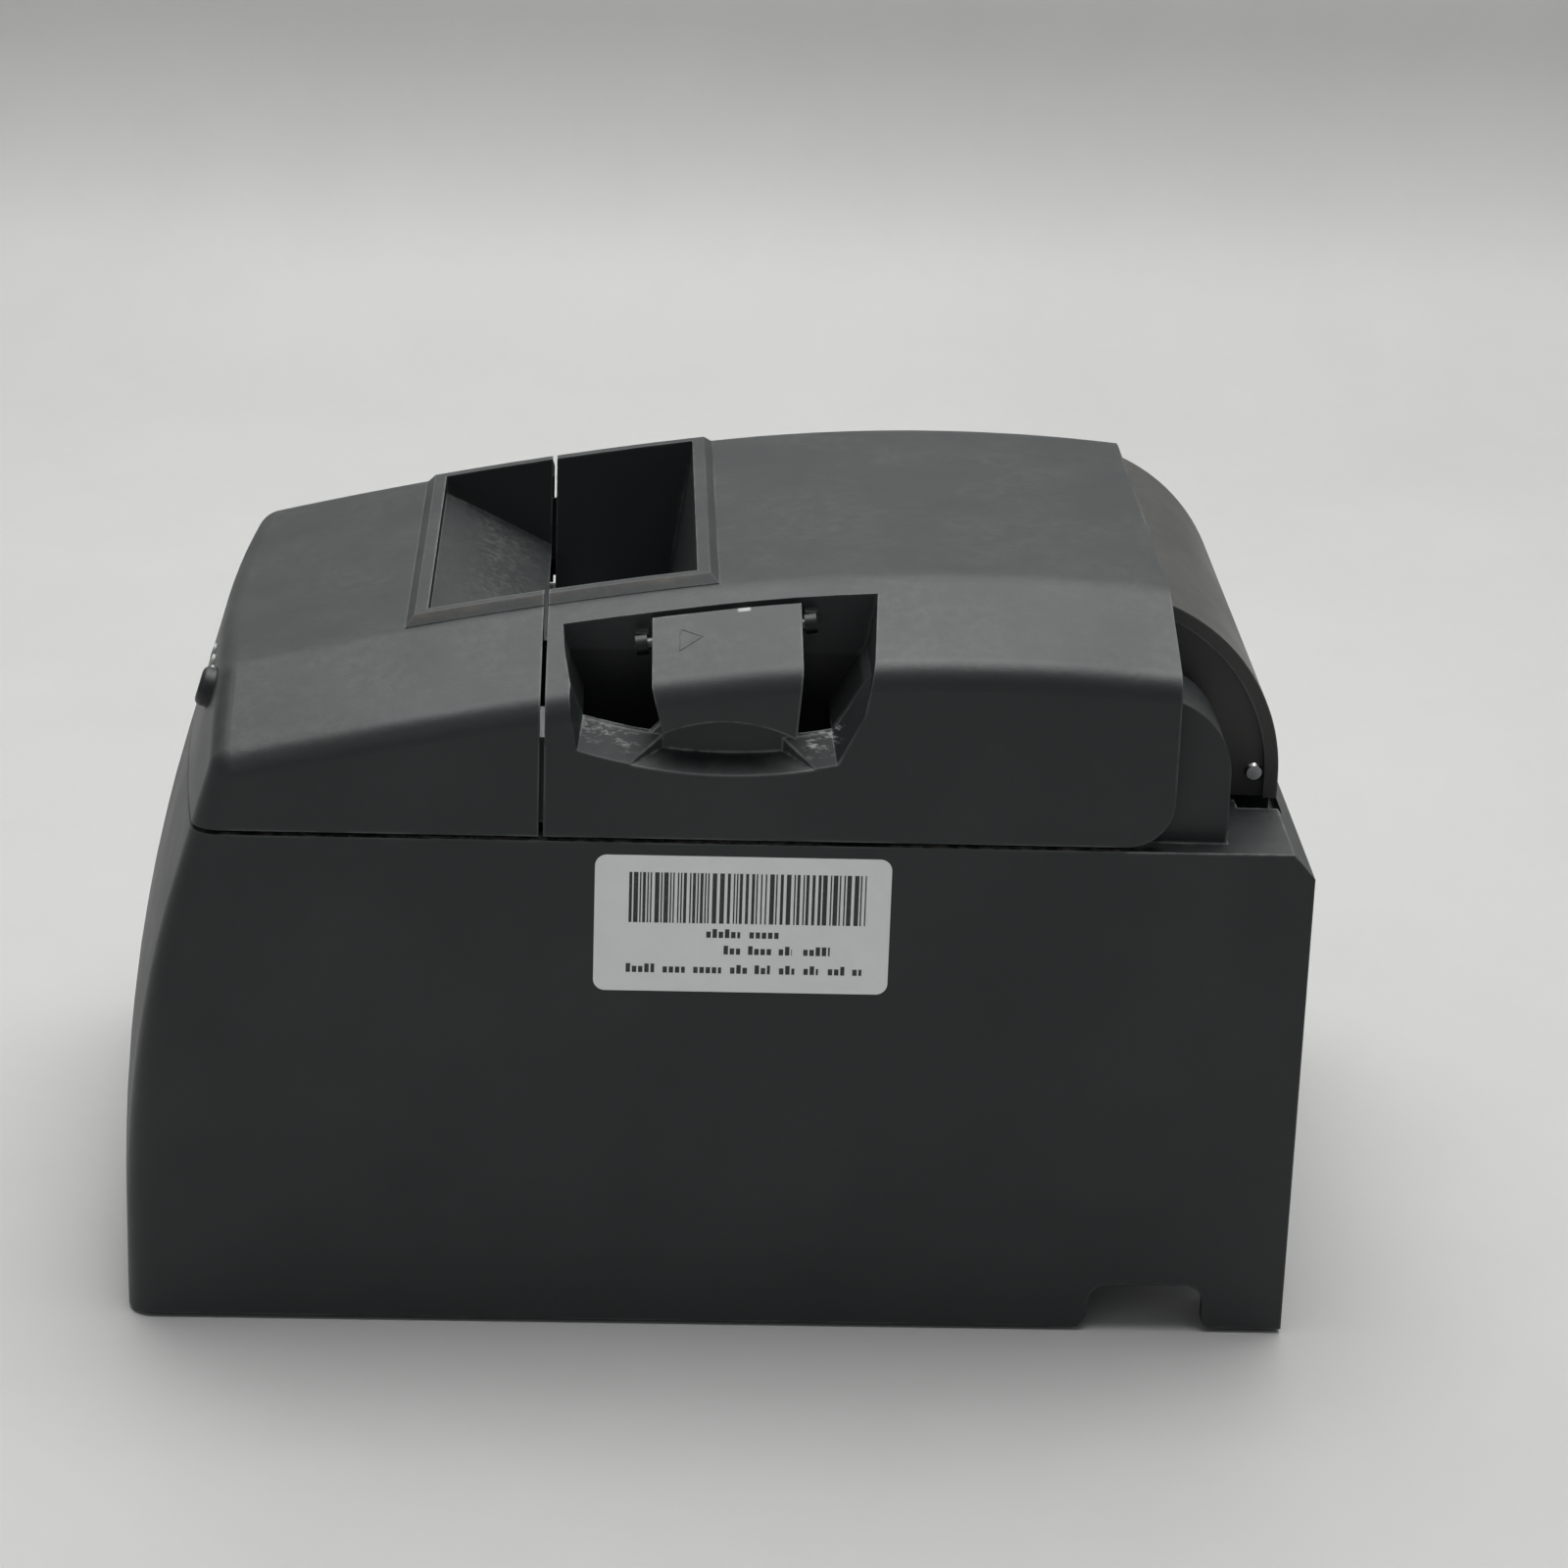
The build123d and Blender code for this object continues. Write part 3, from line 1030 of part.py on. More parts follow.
def head_springs():
    """Three springs that press the head towards the platen."""
    wire = 0.35
    space = 0.15 + wire
    length = HEAD_FACE_Y - HEAD_T - SINK_T - SPRING_BAR_Y - 2 * space
    springs = []
    for x in HEAD_SPRING_XS:
        plane = Plane(origin=(x, SPRING_BAR_Y + space, PLATEN_Z), x_dir=(1, 0, 0), z_dir=(0, 1, 0))
        springs.append(coil(2.2, wire, length, 5, plane))
    return Compound(children=springs)


def lever_spring():
    """The small torsion spring between the lever's hub and the rear lug."""
    start, end = lever_axis()
    direction = (end - start).normalized()
    wire = 0.2
    length = LEVER_SPRING_SPACE - 2 * (wire + BODY_GAP) - 0.4
    plane = Plane(origin=end - direction * (LEVER_SPRING_SPACE - 0.7 - wire - BODY_GAP), z_dir=direction)
    return coil(LEVER_PIN_R + 0.5, wire, length, 3, plane)


def lever_pin():
    """The pin of the release lever."""
    past = LUG_GAP + LUG_LENGTH - 0.1
    return along_lever(past, past, LEVER_PIN_R)


# ----------------------------------------------------------------- the cutter
def cutter_frame():
    """The plate under the moving blade, with guide rails."""
    y0, y1 = CHASSIS_FRONT_Y + 3, SHUT_Y + 0.4
    half = CHASSIS_IN - 1.6
    top = BLADE_Z - BODY_GAP
    plate = block(-half, half, y0, y1, top - 1.0, top)
    rail = block(BLADE_HALF_W + 0.5, half, y0, SHUT_Y - 0.6, top - 0.1, BLADE_Z + 5.4)
    plate += both_sides(rail)
    lug = block(half - 4, CHASSIS_OUT, y0 + 4, y0 + 14, SPLIT_Z - 0.5, top)
    plate += both_sides(lug) + both_sides(lug.moved(Location((0, 24, 0))))
    return plate - rod_z(top - 2, top + 1, CUTTER_X, CUTTER_Y, 2.0)


def cutter_cover():
    """The thin plate over the cutter."""
    y0, y1 = CHASSIS_FRONT_Y + 3, SHUT_Y - 0.6
    half = CHASSIS_IN - 1.6
    z = BLADE_Z + 5.4
    plate = block(-half, half, y0, y1, z, z + 0.8)
    for x in (-30.0, -10.0, 10.0, 30.0):
        plate -= block(x - 6, x + 6, y0 + 8, y0 + 26, z - 1, z + 2)
    return plate


def moving_blade():
    """The sliding guillotine blade with its hollow vee edge."""
    y1 = BLADE_REST_Y
    outline = [
        (-BLADE_HALF_W, y1 - BLADE_LENGTH),
        (BLADE_HALF_W, y1 - BLADE_LENGTH),
        (BLADE_HALF_W, y1),
        (0, y1 - BLADE_VEE),
        (-BLADE_HALF_W, y1),
    ]
    blade = slab_z(outline, BLADE_Z, BLADE_Z + BLADE_T)
    y_slot = CUTTER_Y
    y0 = y_slot - BLADE_STROKE - 2.5
    blade -= block(CUTTER_X - 2, CUTTER_X + 2, y0, y_slot + 2.5, BLADE_Z - 1, BLADE_Z + 2)
    return blade


def rack_pitch():
    """Tooth pitch of the blade's rack."""
    return math.pi * CUTTER_MODULE


def blade_rack():
    """The plastic rack on the blade, its teeth facing the cutter pinion."""
    pitch = rack_pitch()
    pitch_x = CUTTER_X - CUTTER_MODULE * CUTTER_TEETH / 2
    slope = math.tan(math.radians(PRESSURE_ANGLE))
    tip, root = pitch_x + 0.95 * CUTTER_MODULE, pitch_x - 1.25 * CUTTER_MODULE
    quarter = pitch / 4 - BACKLASH / 2
    start = CUTTER_Y - pitch * (RACK_TEETH - 3)
    low, high = start - pitch / 2, start + pitch * (RACK_TEETH - 0.5)
    points = [(root - 3, low), (root, low)]
    for i in range(RACK_TEETH):
        middle = start + i * pitch
        points += [
            (root, middle - quarter - (pitch_x - root) * slope),
            (tip, middle - quarter + (tip - pitch_x) * slope),
            (tip, middle + quarter - (tip - pitch_x) * slope),
            (root, middle + quarter + (pitch_x - root) * slope),
        ]
    points += [(root, high), (root - 3, high)]
    rack = slab_z(points, BLADE_Z + BLADE_T + BODY_GAP, CUTTER_GEAR_Z + CUTTER_GEAR_T)
    top = BLADE_Z + BLADE_T
    return rack + block(root - 3, root - 0.4, low, high, top, top + BODY_GAP + 0.1)


def cutter_pinion():
    """The cutter motor's pinion on its shaft."""
    face = Rot(0, 0, 90) * gear_face(CUTTER_TEETH, CUTTER_MODULE, True)
    gear = Pos(CUTTER_X, CUTTER_Y, CUTTER_GEAR_Z) * extrude(face, CUTTER_GEAR_T)
    return gear + rod_z(SPLIT_Z - 4.0, CUTTER_GEAR_Z + 0.1, CUTTER_X, CUTTER_Y, 1.0)


def cutter_motor():
    """The small motor that drives the cutter, under its frame."""
    top = BLADE_Z - BODY_GAP - 1.0
    body = rod_z(top - 26, top, CUTTER_X, CUTTER_Y, 9.0)
    body = fillet([e for e in body.edges() if e.geom_type == GeomType.CIRCLE and e.center().Z < top - 1], 1.2)
    return body - rod_z(top - 6, top + 1, CUTTER_X, CUTTER_Y, 1.3)


# ---------------------------------------------------- controls and electronics
def feed_button():
    """The paper-feed button, with a flange behind the cover."""
    plane = face_plane(BUTTON_X, BUTTON_Z)
    reach = SKIN + 1.8
    stem_length = BUTTON_PROUD + reach
    stem = Pos(0, 0, BUTTON_PROUD - stem_length / 2) * Cylinder(BUTTON_R, stem_length)
    stem = fillet([e for e in stem.edges() if e.center().Z > BUTTON_PROUD - 0.1], 1.2)
    flange = Pos(0, 0, -reach - 0.5) * Cylinder(BUTTON_R + 1.2, 1.0)
    plunger = Pos(0, 0, -reach - 1.7) * Cylinder(1.2, 1.6)
    return plane * (stem + flange + plunger)


def status_lenses():
    """Three light pipes beside the button."""
    lenses = []
    for x in LENS_XS:
        lens = Pos(0, 0, -SKIN / 2 + 0.2) * Cylinder(LENS_R - 0.02, SKIN + 0.6)
        lenses.append(face_plane(x, BUTTON_Z) * lens)
    return Compound(children=lenses)


def control_board():
    """The small board behind the button and lenses."""
    depth = SKIN + 1.8 + 6.2
    plane = face_plane((BUTTON_X + LENS_XS[0]) / 2, BUTTON_Z)
    board = Pos(0, 0, -depth) * Box(40, 12, 1.2)
    switch = Pos(BUTTON_X - (BUTTON_X + LENS_XS[0]) / 2, 0, -depth + 1.0) * Box(5, 5, 1.0)
    return plane * (board + switch)


def switch_body():
    """The rocker switch's housing, set flat in the front wall."""
    flat = front_face_y(SWITCH_Z) + 3.6
    body = block(SWITCH_X - 9, SWITCH_X + 9, flat - 1.6, flat, SWITCH_Z - 7, SWITCH_Z + 7)
    body += block(SWITCH_X - 6.9, SWITCH_X + 6.9, flat - 0.1, flat + 13, SWITCH_Z - 5.4, SWITCH_Z + 5.4)
    body -= block(SWITCH_X - 5.6, SWITCH_X + 5.6, flat - 3, flat + 6.5, SWITCH_Z - 4.4, SWITCH_Z + 4.4)
    return body - rod_x(SWITCH_X - 6.3, SWITCH_X + 6.3, flat + 2.2, SWITCH_Z, 0.6)


def switch_rocker():
    """The rocker, on pins of its own."""
    flat = front_face_y(SWITCH_Z) + 3.6
    x0, x1 = SWITCH_X - 5.3, SWITCH_X + 5.3
    points = [
        (flat - 1.5, SWITCH_Z - 3.6),
        (flat - 1.1, SWITCH_Z),
        (flat - 1.5, SWITCH_Z + 3.6),
        (flat + 2.6, SWITCH_Z + 3.0),
        (flat + 4.4, SWITCH_Z),
        (flat + 2.6, SWITCH_Z - 3.0),
    ]
    rocker = slab_x(points, x0, x1) + rod_x(SWITCH_X - 6.2, SWITCH_X + 6.2, flat + 2.2, SWITCH_Z, 0.55)
    return rocker.rotate(Axis((0, flat + 2.2, SWITCH_Z), (1, 0, 0)), -ROCKER_TILT)


def base_plate():
    """The steel bottom plate, with fixing holes for a wall bracket."""
    side = HALF_W - CASE_WALL - 0.3
    plate = block(-side, side, FRONT_Y - 1, BAY_FRONT_Y - 0.4, BASE_Z, BASE_TOP)
    plate &= front_limit(CASE_WALL + 1.4)
    plate += block(-side, side, FRONT_Y + 40, BAY_FRONT_Y - 0.4, BASE_Z, BASE_TOP)
    for y in BASE_SCREW_YS:
        plate -= both_sides(rod_z(BASE_Z - 1, BASE_TOP + 1, BASE_SCREW_X, y, SCREW_R + 0.2))
    for x in (-MOUNT_X, MOUNT_X):
        for y in (MOUNT_Y0, MOUNT_Y0 + MOUNT_SPAN_Y):
            plate -= rod_z(BASE_Z - 1, BASE_TOP + 1, x, y, MOUNT_R)
    for x, y in CHASSIS_POSTS:
        plate -= rod_z(BASE_Z - 1, BASE_TOP + 1, x, y, SCREW_R + 0.2)
    for x in (-TRAY_HALF_W - TRAY_T - 3.5, TRAY_HALF_W + TRAY_T + 3.5):
        plate -= rod_z(BASE_Z - 1, BASE_TOP + 1, x, TRAY_LEGS[0][0], SCREW_R + 0.2)
    return plate


def front_feet():
    """Two rubber feet under the base plate."""
    foot = rod_z(0, BASE_Z, FRONT_FOOT_X, FRONT_Y + 14, FRONT_FOOT_R)
    return pair(chamfer(foot.edges(), FOOT_CHAMFER))


def rear_feet():
    """Two rubber feet under the solid rear corners."""
    foot = rod_z(0, BASE_Z, REAR_FOOT_X, REAR_Y - 7.6, REAR_FOOT_R)
    return pair(chamfer(foot.edges(), FOOT_CHAMFER))


def base_screws():
    """Screws of the base plate into the case."""
    screws = [screw(x, y, BASE_Z, 7.0) for y in BASE_SCREW_YS for x in (-BASE_SCREW_X, BASE_SCREW_X)]
    return Compound(children=[s & block(-80, 80, -110, 110, 0.4, 90) for s in screws])


def chassis_screws():
    """Screws of the base plate into the chassis posts."""
    screws = [screw(x, y, BASE_Z, 7.0) for x, y in CHASSIS_POSTS]
    x = TRAY_HALF_W + TRAY_T + 3.5
    screws += [screw(side * x, TRAY_LEGS[0][0], BASE_Z, 6.0) for side in (-1, 1)]
    return Compound(children=[s & block(-80, 80, -110, 110, 0.4, 90) for s in screws])


def main_board():
    """The main circuit board on the base plate, with its larger parts."""
    y0, y1 = SHUT_Y - 32, BAY_FRONT_Y - 6
    board = block(-34, 34, y0, y1, BOARD_Z, BOARD_Z + BOARD_T)
    for x in (-31, 31):
        for y in (y0 + 3, y1 - 3):
            board += rod_z(BASE_TOP, BOARD_Z, x, y, 2.2)
    top = BOARD_Z + BOARD_T
    board += block(-12, 8, -20, 0, top, top + 2.2)
    board += block(-28, -16, 20, 32, top, top + 1.8)
    for y in (14, 26):
        board += rod_z(top, top + 9, 22, y, 4.0)
    board += block(10, 26, -40, -35, top, top + 4.5)
    return board


def interface_board():
    """The upright board that carries the sockets."""
    y = BAY_FRONT_Y - 1.6
    return block(-44, 44, y - 1.4, y, BASE_TOP + 2, BAY_TOP_Z - 3)


def interface_plate():
    """The metal plate round the sockets."""
    y0 = BAY_FRONT_Y + 2.4
    plate = block(-PORT_HALF_W - 3, PORT_HALF_W + 3, y0, y0 + 0.8, NOTCH_TOP_Z + 0.2, BAY_TOP_Z - 2.6)
    for x, z, half_w, half_h in PORTS.values():
        dx, dz = half_w + 0.1, half_h + 0.1
        plate -= block(x - dx, x + dx, y0 - 1, y0 + 2, z - dz, z + dz)
    for x in (-PORT_HALF_W - 1, PORT_HALF_W + 1):
        plate -= rod_y(y0 - 1, y0 + 2, x, 21, 1.2)
    return plate


def port_block(name):
    """The outer block of one socket, standing on the interface board."""
    x, z, half_w, half_h = PORTS[name]
    return block(x - half_w, x + half_w, BAY_FRONT_Y - 1.6, BAY_FRONT_Y + 5.5, z - half_h, z + half_h)


def power_socket():
    """Round three-pin low-voltage inlet."""
    x, z, half_w, _ = PORTS["power_socket"]
    y1 = BAY_FRONT_Y + 5.5
    body = port_block("power_socket") - rod_y(BAY_FRONT_Y - 0.2, y1 + 1, x, z, half_w - 1.4)
    for dx, dz in ((-2.4, -1.0), (2.4, -1.0), (0.0, 2.4)):
        body += rod_y(BAY_FRONT_Y - 0.5, y1 - 1.6, x + dx, z + dz, 0.6)
    return body


def drawer_socket():
    """Six-way modular socket for the cash drawer."""
    x, z, half_w, half_h = PORTS["drawer_socket"]
    y1 = BAY_FRONT_Y + 5.5
    body = port_block("drawer_socket")
    body -= block(x - half_w + 1.6, x + half_w - 1.6, BAY_FRONT_Y, y1 + 1, z - half_h + 2.6, z + half_h - 1.6)
    return body - block(x - 2.2, x + 2.2, BAY_FRONT_Y, y1 + 1, z - half_h + 1.2, z)


def usb_socket():
    """Square data socket with its tongue."""
    x, z, half_w, half_h = PORTS["usb_socket"]
    y1 = BAY_FRONT_Y + 5.5
    body = port_block("usb_socket")
    body -= block(x - half_w + 1.0, x + half_w - 1.0, BAY_FRONT_Y, y1 + 1, z - half_h + 1.0, z + half_h - 1.0)
    return body + block(x - 2.8, x + 2.8, BAY_FRONT_Y - 0.5, y1 - 1.0, z - 1.5, z + 1.5)


def network_socket():
    """Eight-way modular socket."""
    x, z, half_w, half_h = PORTS["network_socket"]
    y1 = BAY_FRONT_Y + 5.5
    body = port_block("network_socket")
    body -= block(x - half_w + 1.8, x + half_w - 1.8, BAY_FRONT_Y, y1 + 1, z - half_h + 3.0, z + half_h - 2.2)
    return body - block(x - 3.0, x + 3.0, BAY_FRONT_Y, y1 + 1, z - half_h + 1.4, z)


def interface_screws():
    """Two screws of the interface plate."""
    y0 = BAY_FRONT_Y + 3.2
    screws = []
    for x in (-PORT_HALF_W - 1, PORT_HALF_W + 1):
        head = rod_y(y0, y0 + 1.4, x, 21, 2.4) - block(x - 1.6, x + 1.6, y0 + 0.8, y0 + 2, 20.7, 21.3)
        screws.append(head + rod_y(y0 - 0.8, y0, x, 21, 1.15))
    return Compound(children=screws)


def paper_sensor():
    """Reflective sensor on the tray's front lip that sees the paper end."""
    y = PLATEN_Y + 10.5
    return block(-4, 4, y - 2, y + 2, PLATEN_Z - 6.9, PLATEN_Z - 3.4)


def near_end_sensor():
    """Sensor on the tray's side that sees a nearly empty roll."""
    x = TRAY_HALF_W + TRAY_T
    return block(x, x + 2.4, TRAY_Y - 6, TRAY_Y + 6, TRAY_Z - 24, TRAY_Z - 16)


def head_cable():
    """Flat cable from the main board up to the print head."""
    y0 = SHUT_Y - 26.0
    y1 = HEAD_FACE_Y - HEAD_T - SINK_T / 2
    low, high = BOARD_Z + BOARD_T + 0.2, HEAD_PIN_Z - 3.7
    path = FilletPolyline((y0, low), (y0, low + 24), (y1, low + 34), (y1, high), radius=4.0)
    ribbon = Plane.YZ * offset(path, 0.15, side=Side.BOTH)
    return Pos(-8, 0, 0) * extrude(make_face(ribbon.edges()), 18)


def side_label():
    """The paper label on the side of the case."""
    label = block(HALF_W, HALF_W + 0.12, LABEL_Y, LABEL_Y + LABEL_W, LABEL_Z, LABEL_Z + LABEL_H)
    return fillet([e for e in label.edges() if abs(e.length - 0.12) < 0.01], 2.0)


NODES = (
    lower_case, front_cover, rear_cover, roll_shell, hinge_shaft, hinge_clips, inner_frame,
    frame_screws, fixed_blade, tear_bar, platen_roller, platen_shaft, platen_bushes,
    platen_gear, idler_gear, idler_post, motor_pinion, feed_motor, chassis_frame,
    latch_catch, paper_tray, thermal_head, head_heatsink, head_pivot_pin, head_springs,
    release_lever, lever_pin, lever_spring, cutter_frame, cutter_cover, moving_blade,
    blade_rack, cutter_pinion, cutter_motor, feed_button, status_lenses, control_board,
    switch_body, switch_rocker, base_plate, front_feet, rear_feet, base_screws,
    chassis_screws, main_board, interface_board, interface_plate, power_socket,
    drawer_socket, usb_socket, network_socket, interface_screws, paper_sensor,
    near_end_sensor, head_cable, side_label,
)

os.makedirs("parts", exist_ok=True)
for node in NODES:
    shape = node()
    export_step(shape, f"parts/{node.__name__}.step")
    print(node.__name__, len(shape.solids()), round(shape.volume, 1))
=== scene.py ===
# %% [markdown]
# # A receipt printer, from frame to finished picture
#
# The printer is a charcoal plastic box with a hinged cover. Its parts come ready
# made, in metres, with +Z up and the front face towards -Y. This lesson adds what
# the parts don't have: a place to stand, light, a camera, the finish of every
# material, and the small printed and worn details.

# %% Load the printer's parts
import json
import math
import random

import bmesh
import bpy
from mathutils import Matrix, Vector
from mathutils.bvhtree import BVHTree


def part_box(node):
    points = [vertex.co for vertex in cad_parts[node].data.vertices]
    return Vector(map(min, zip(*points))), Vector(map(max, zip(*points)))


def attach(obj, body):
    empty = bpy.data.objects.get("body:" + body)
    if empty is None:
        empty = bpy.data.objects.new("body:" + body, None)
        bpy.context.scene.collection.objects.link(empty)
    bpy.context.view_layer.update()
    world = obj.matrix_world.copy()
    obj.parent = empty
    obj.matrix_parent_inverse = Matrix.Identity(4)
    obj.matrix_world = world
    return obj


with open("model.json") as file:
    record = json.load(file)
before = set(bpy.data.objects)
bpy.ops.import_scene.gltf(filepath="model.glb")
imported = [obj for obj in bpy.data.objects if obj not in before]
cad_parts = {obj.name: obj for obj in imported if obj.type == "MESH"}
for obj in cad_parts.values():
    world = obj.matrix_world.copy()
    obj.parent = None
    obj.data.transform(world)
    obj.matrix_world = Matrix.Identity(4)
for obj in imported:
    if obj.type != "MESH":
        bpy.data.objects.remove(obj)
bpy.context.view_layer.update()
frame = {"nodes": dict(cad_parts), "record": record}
MM = 0.001
scene = bpy.context.scene

# %% [markdown]
# ## The camera
#
# The printer is seen from its lever side, a little from above, through a long
# lens. A long lens keeps the sides nearly parallel, as in a product picture.
# The camera could be aimed at a target with a constraint, but a matrix built from
# its three axes says exactly how it is turned: level heading, then pitch, then a
# slight roll. Angles are in radians.

# %% Aim the camera
CAMERA_PLACE = Vector((772.5, -16.9, 359.7)) * MM
CAMERA_HEADING = -0.042
CAMERA_PITCH = 0.353
CAMERA_ROLL = 0.034
CAMERA_LENS = 102.85
SENSOR_WIDTH = 36.0
CLIP_START = 0.02


def camera_matrix():
    """The camera's turn: columns are its right, its up and its back."""
    flat = Matrix.Rotation(CAMERA_HEADING, 3, "Z")
    ahead, right = flat @ Vector((-1, 0, 0)), flat @ Vector((0, 1, 0))
    level = Vector((0, 0, 1))
    forward = ahead * math.cos(CAMERA_PITCH) - level * math.sin(CAMERA_PITCH)
    up = level * math.cos(CAMERA_PITCH) + ahead * math.sin(CAMERA_PITCH)
    rolled_right = right * math.cos(CAMERA_ROLL) + up * math.sin(CAMERA_ROLL)
    rolled_up = up * math.cos(CAMERA_ROLL) - right * math.sin(CAMERA_ROLL)
    return Matrix((rolled_right, rolled_up, -forward)).transposed()


camera = bpy.data.objects.new("camera", bpy.data.cameras.new("camera"))
scene.collection.objects.link(camera)
camera.data.lens = CAMERA_LENS
camera.data.sensor_width = SENSOR_WIDTH
camera.data.clip_start = CLIP_START
camera.matrix_world = Matrix.Translation(CAMERA_PLACE) @ camera_matrix().to_4x4()
scene.camera = camera
print("camera stands", round(CAMERA_PLACE.length, 3), "m from the middle of the base")

# %% [markdown]
# ## Helpers for shader nodes
#
# Every finish below is a small network of shader nodes. These helpers keep the
# cells short: one feeds a socket from a value or a link, others add a node, a sum
# or a stretch of a range, and two make and place node groups. A socket's value is
# given as a keyword, with underscores for the spaces in its name, or with its
# number after an underscore where several sockets share a name.


# %% Helpers for node trees
def feed(tree, socket, value):
    """Links a socket to another one, or sets its plain value."""
    if isinstance(value, bpy.types.NodeSocket):
        tree.links.new(value, socket)
    else:
        socket.default_value = value


def feed_all(tree, node, values):
    """Feeds a node's inputs, named by their label or their number."""
    for name, value in values.items():
        key = int(name[1:]) if name[1:].isdigit() else name.replace("_", " ")
        feed(tree, node.inputs[key], value)


def add(tree, kind, settings=None, **values):
    """A new shader node with its settings, its values and its links in place."""
    made = tree.nodes.new("ShaderNode" + kind)
    for name, value in (settings or {}).items():
        setattr(made, name, value)
    feed_all(tree, made, values)
    return made


def maths(tree, operation, a, b=0.0, clamp=False):
    """A Math node's result."""
    settings = {"operation": operation, "use_clamp": clamp}
    return add(tree, "Math", settings, _0=a, _1=b).outputs[0]


def spread(tree, value, low, high):
    """The value stretched to run from 0 at low to 1 at high, and held there."""
    settings = {"interpolation_type": "SMOOTHSTEP"}
    return add(tree, "MapRange", settings, _0=value, _1=low, _2=high).outputs[0]


def new_group(name, inputs, outputs):
    """An empty node group with named sockets."""
    tree = bpy.data.node_groups.new(name, "ShaderNodeTree")
    kind = "NodeSocketFloat"
    for label, value in inputs.items():
        made = tree.interface.new_socket(label, in_out="INPUT", socket_type=kind)
        made.default_value = value
    for label in outputs:
        tree.interface.new_socket(label, in_out="OUTPUT", socket_type=kind)
    entry, leave = tree.nodes.new("NodeGroupInput"), tree.nodes.new("NodeGroupOutput")
    return tree, entry.outputs, leave.inputs


def place_group(tree, group, **values):
    """One use of a node group in a material, with its own values."""
    made = tree.nodes.new("ShaderNodeGroup")
    made.node_tree = group
    feed_all(tree, made, values)
    return made.outputs


def object_place(tree):
    """Where the shaded point lies on its part, in metres."""
    return add(tree, "TexCoord").outputs["Object"]


def stretched(tree, place, scales):
    """The place scaled by its own factor along each axis."""
    return add(tree, "VectorMath", {"operation": "MULTIPLY"}, _0=place, _1=scales).outputs[0]


def product(tree, *factors):
    """Several values multiplied together."""
    result = factors[0]
    for factor in factors[1:]:
        result = maths(tree, "MULTIPLY", result, factor)
    return result


print("helpers are ready")

# %% [markdown]
# ## Moulded grain
#
# The case is moulded in a tool with a spark-eroded face, which leaves a fine,
# even, slightly pebbled skin. It could be a displacement map, but the pebbles are
# well under a millimetre, so a bump is enough. Two noises make it: a fine one for
# the pebbles and a slow one for the faint cloudiness that skin oil and handling
# leave. Object coordinates are in metres here, so a scale of 2200 gives features
# of about half a millimetre.

# %% Moulded grain as a node group
PEBBLE_SHARE = 0.35


def make_moulded_grain():
    """Height of the pebbles and a slow cloudiness."""
    inputs = {"Scale": 2200.0, "Cloud Scale": 28.0}
    tree, given, result = new_group("moulded_grain", inputs, ("Height", "Cloud"))
    place = object_place(tree)
    fine = add(tree, "TexNoise", Vector=place, Scale=given["Scale"], Detail=2.0, Roughness=0.6)
    pits = add(tree, "TexVoronoi", Vector=place, Scale=given["Scale"])
    pebbles = maths(tree, "MULTIPLY", pits.outputs["Distance"], PEBBLE_SHARE)
    height = maths(tree, "ADD", fine.outputs["Fac"], pebbles)
    tree.links.new(height, result["Height"])
    scale = given["Cloud Scale"]
    cloud = add(tree, "TexNoise", Vector=place, Scale=scale, Detail=4.0, Roughness=0.6)
    tree.links.new(spread(tree, cloud.outputs["Fac"], 0.3, 0.7), result["Cloud"])
    return tree


moulded_grain = make_moulded_grain()
print("group:", moulded_grain.name)

# %% [markdown]
# ## Worn edges and painted edge highlights
#
# Hands and counters polish plastic where it stands proud: along creases, rims and
# the lip of the finger scoop. A Bevel node rounds the shading normal near an edge,
# so the difference between the rounded and the true normal is a mask of edges. A
# noise breaks it up, because wear seldom runs evenly; Evenness closes the breaks.
# The same mask also lays pale painted highlights along the rims of the paper exit
# and along the hinge ear.


# %% Worn edges and painted edge highlights as a node group
def make_edge_mask_wear_and_highlight():
    """A mask that is 1 on edges, for wear and for painted edge highlights."""
    inputs = {"Radius": 0.0008, "Breakup Scale": 90.0, "Amount": 0.6, "Evenness": 0.0}
    tree, given, result = new_group("edge_mask_wear_and_highlight", inputs, ("Mask",))
    rounded = add(tree, "Bevel", {"samples": 6}, Radius=given["Radius"]).outputs[0]
    true = add(tree, "NewGeometry").outputs["Normal"]
    alike = add(tree, "VectorMath", {"operation": "DOT_PRODUCT"}, _0=rounded, _1=true)
    edge = spread(tree, maths(tree, "SUBTRACT", 1.0, alike.outputs["Value"]), 0.01, 0.16)
    place = object_place(tree)
    scale = given["Breakup Scale"]
    noise = add(tree, "TexNoise", Vector=place, Scale=scale, Detail=5.0, Roughness=0.65)
    breaks = spread(tree, noise.outputs["Fac"], 0.38, 0.62)
    patches = maths(tree, "MAXIMUM", breaks, given["Evenness"])
    broken = maths(tree, "MULTIPLY", edge, patches)
    tree.links.new(maths(tree, "MULTIPLY", broken, given["Amount"], clamp=True), result["Mask"])
    return tree


edge_mask_wear_and_highlight = make_edge_mask_wear_and_highlight()
print("group:", edge_mask_wear_and_highlight.name)

# %% [markdown]
# ## Settled dust
#
# Paper dust is what a receipt printer makes most of. It settles on surfaces that
# face up and packs into inner corners. Ambient occlusion finds the corners, the
# true normal finds what faces up, and a fine noise gives the crumbs.

# %% Settled dust as a node group
ANY_WAY_SHARE = 0.25  # how much of the corner dust lies on faces that don't face up


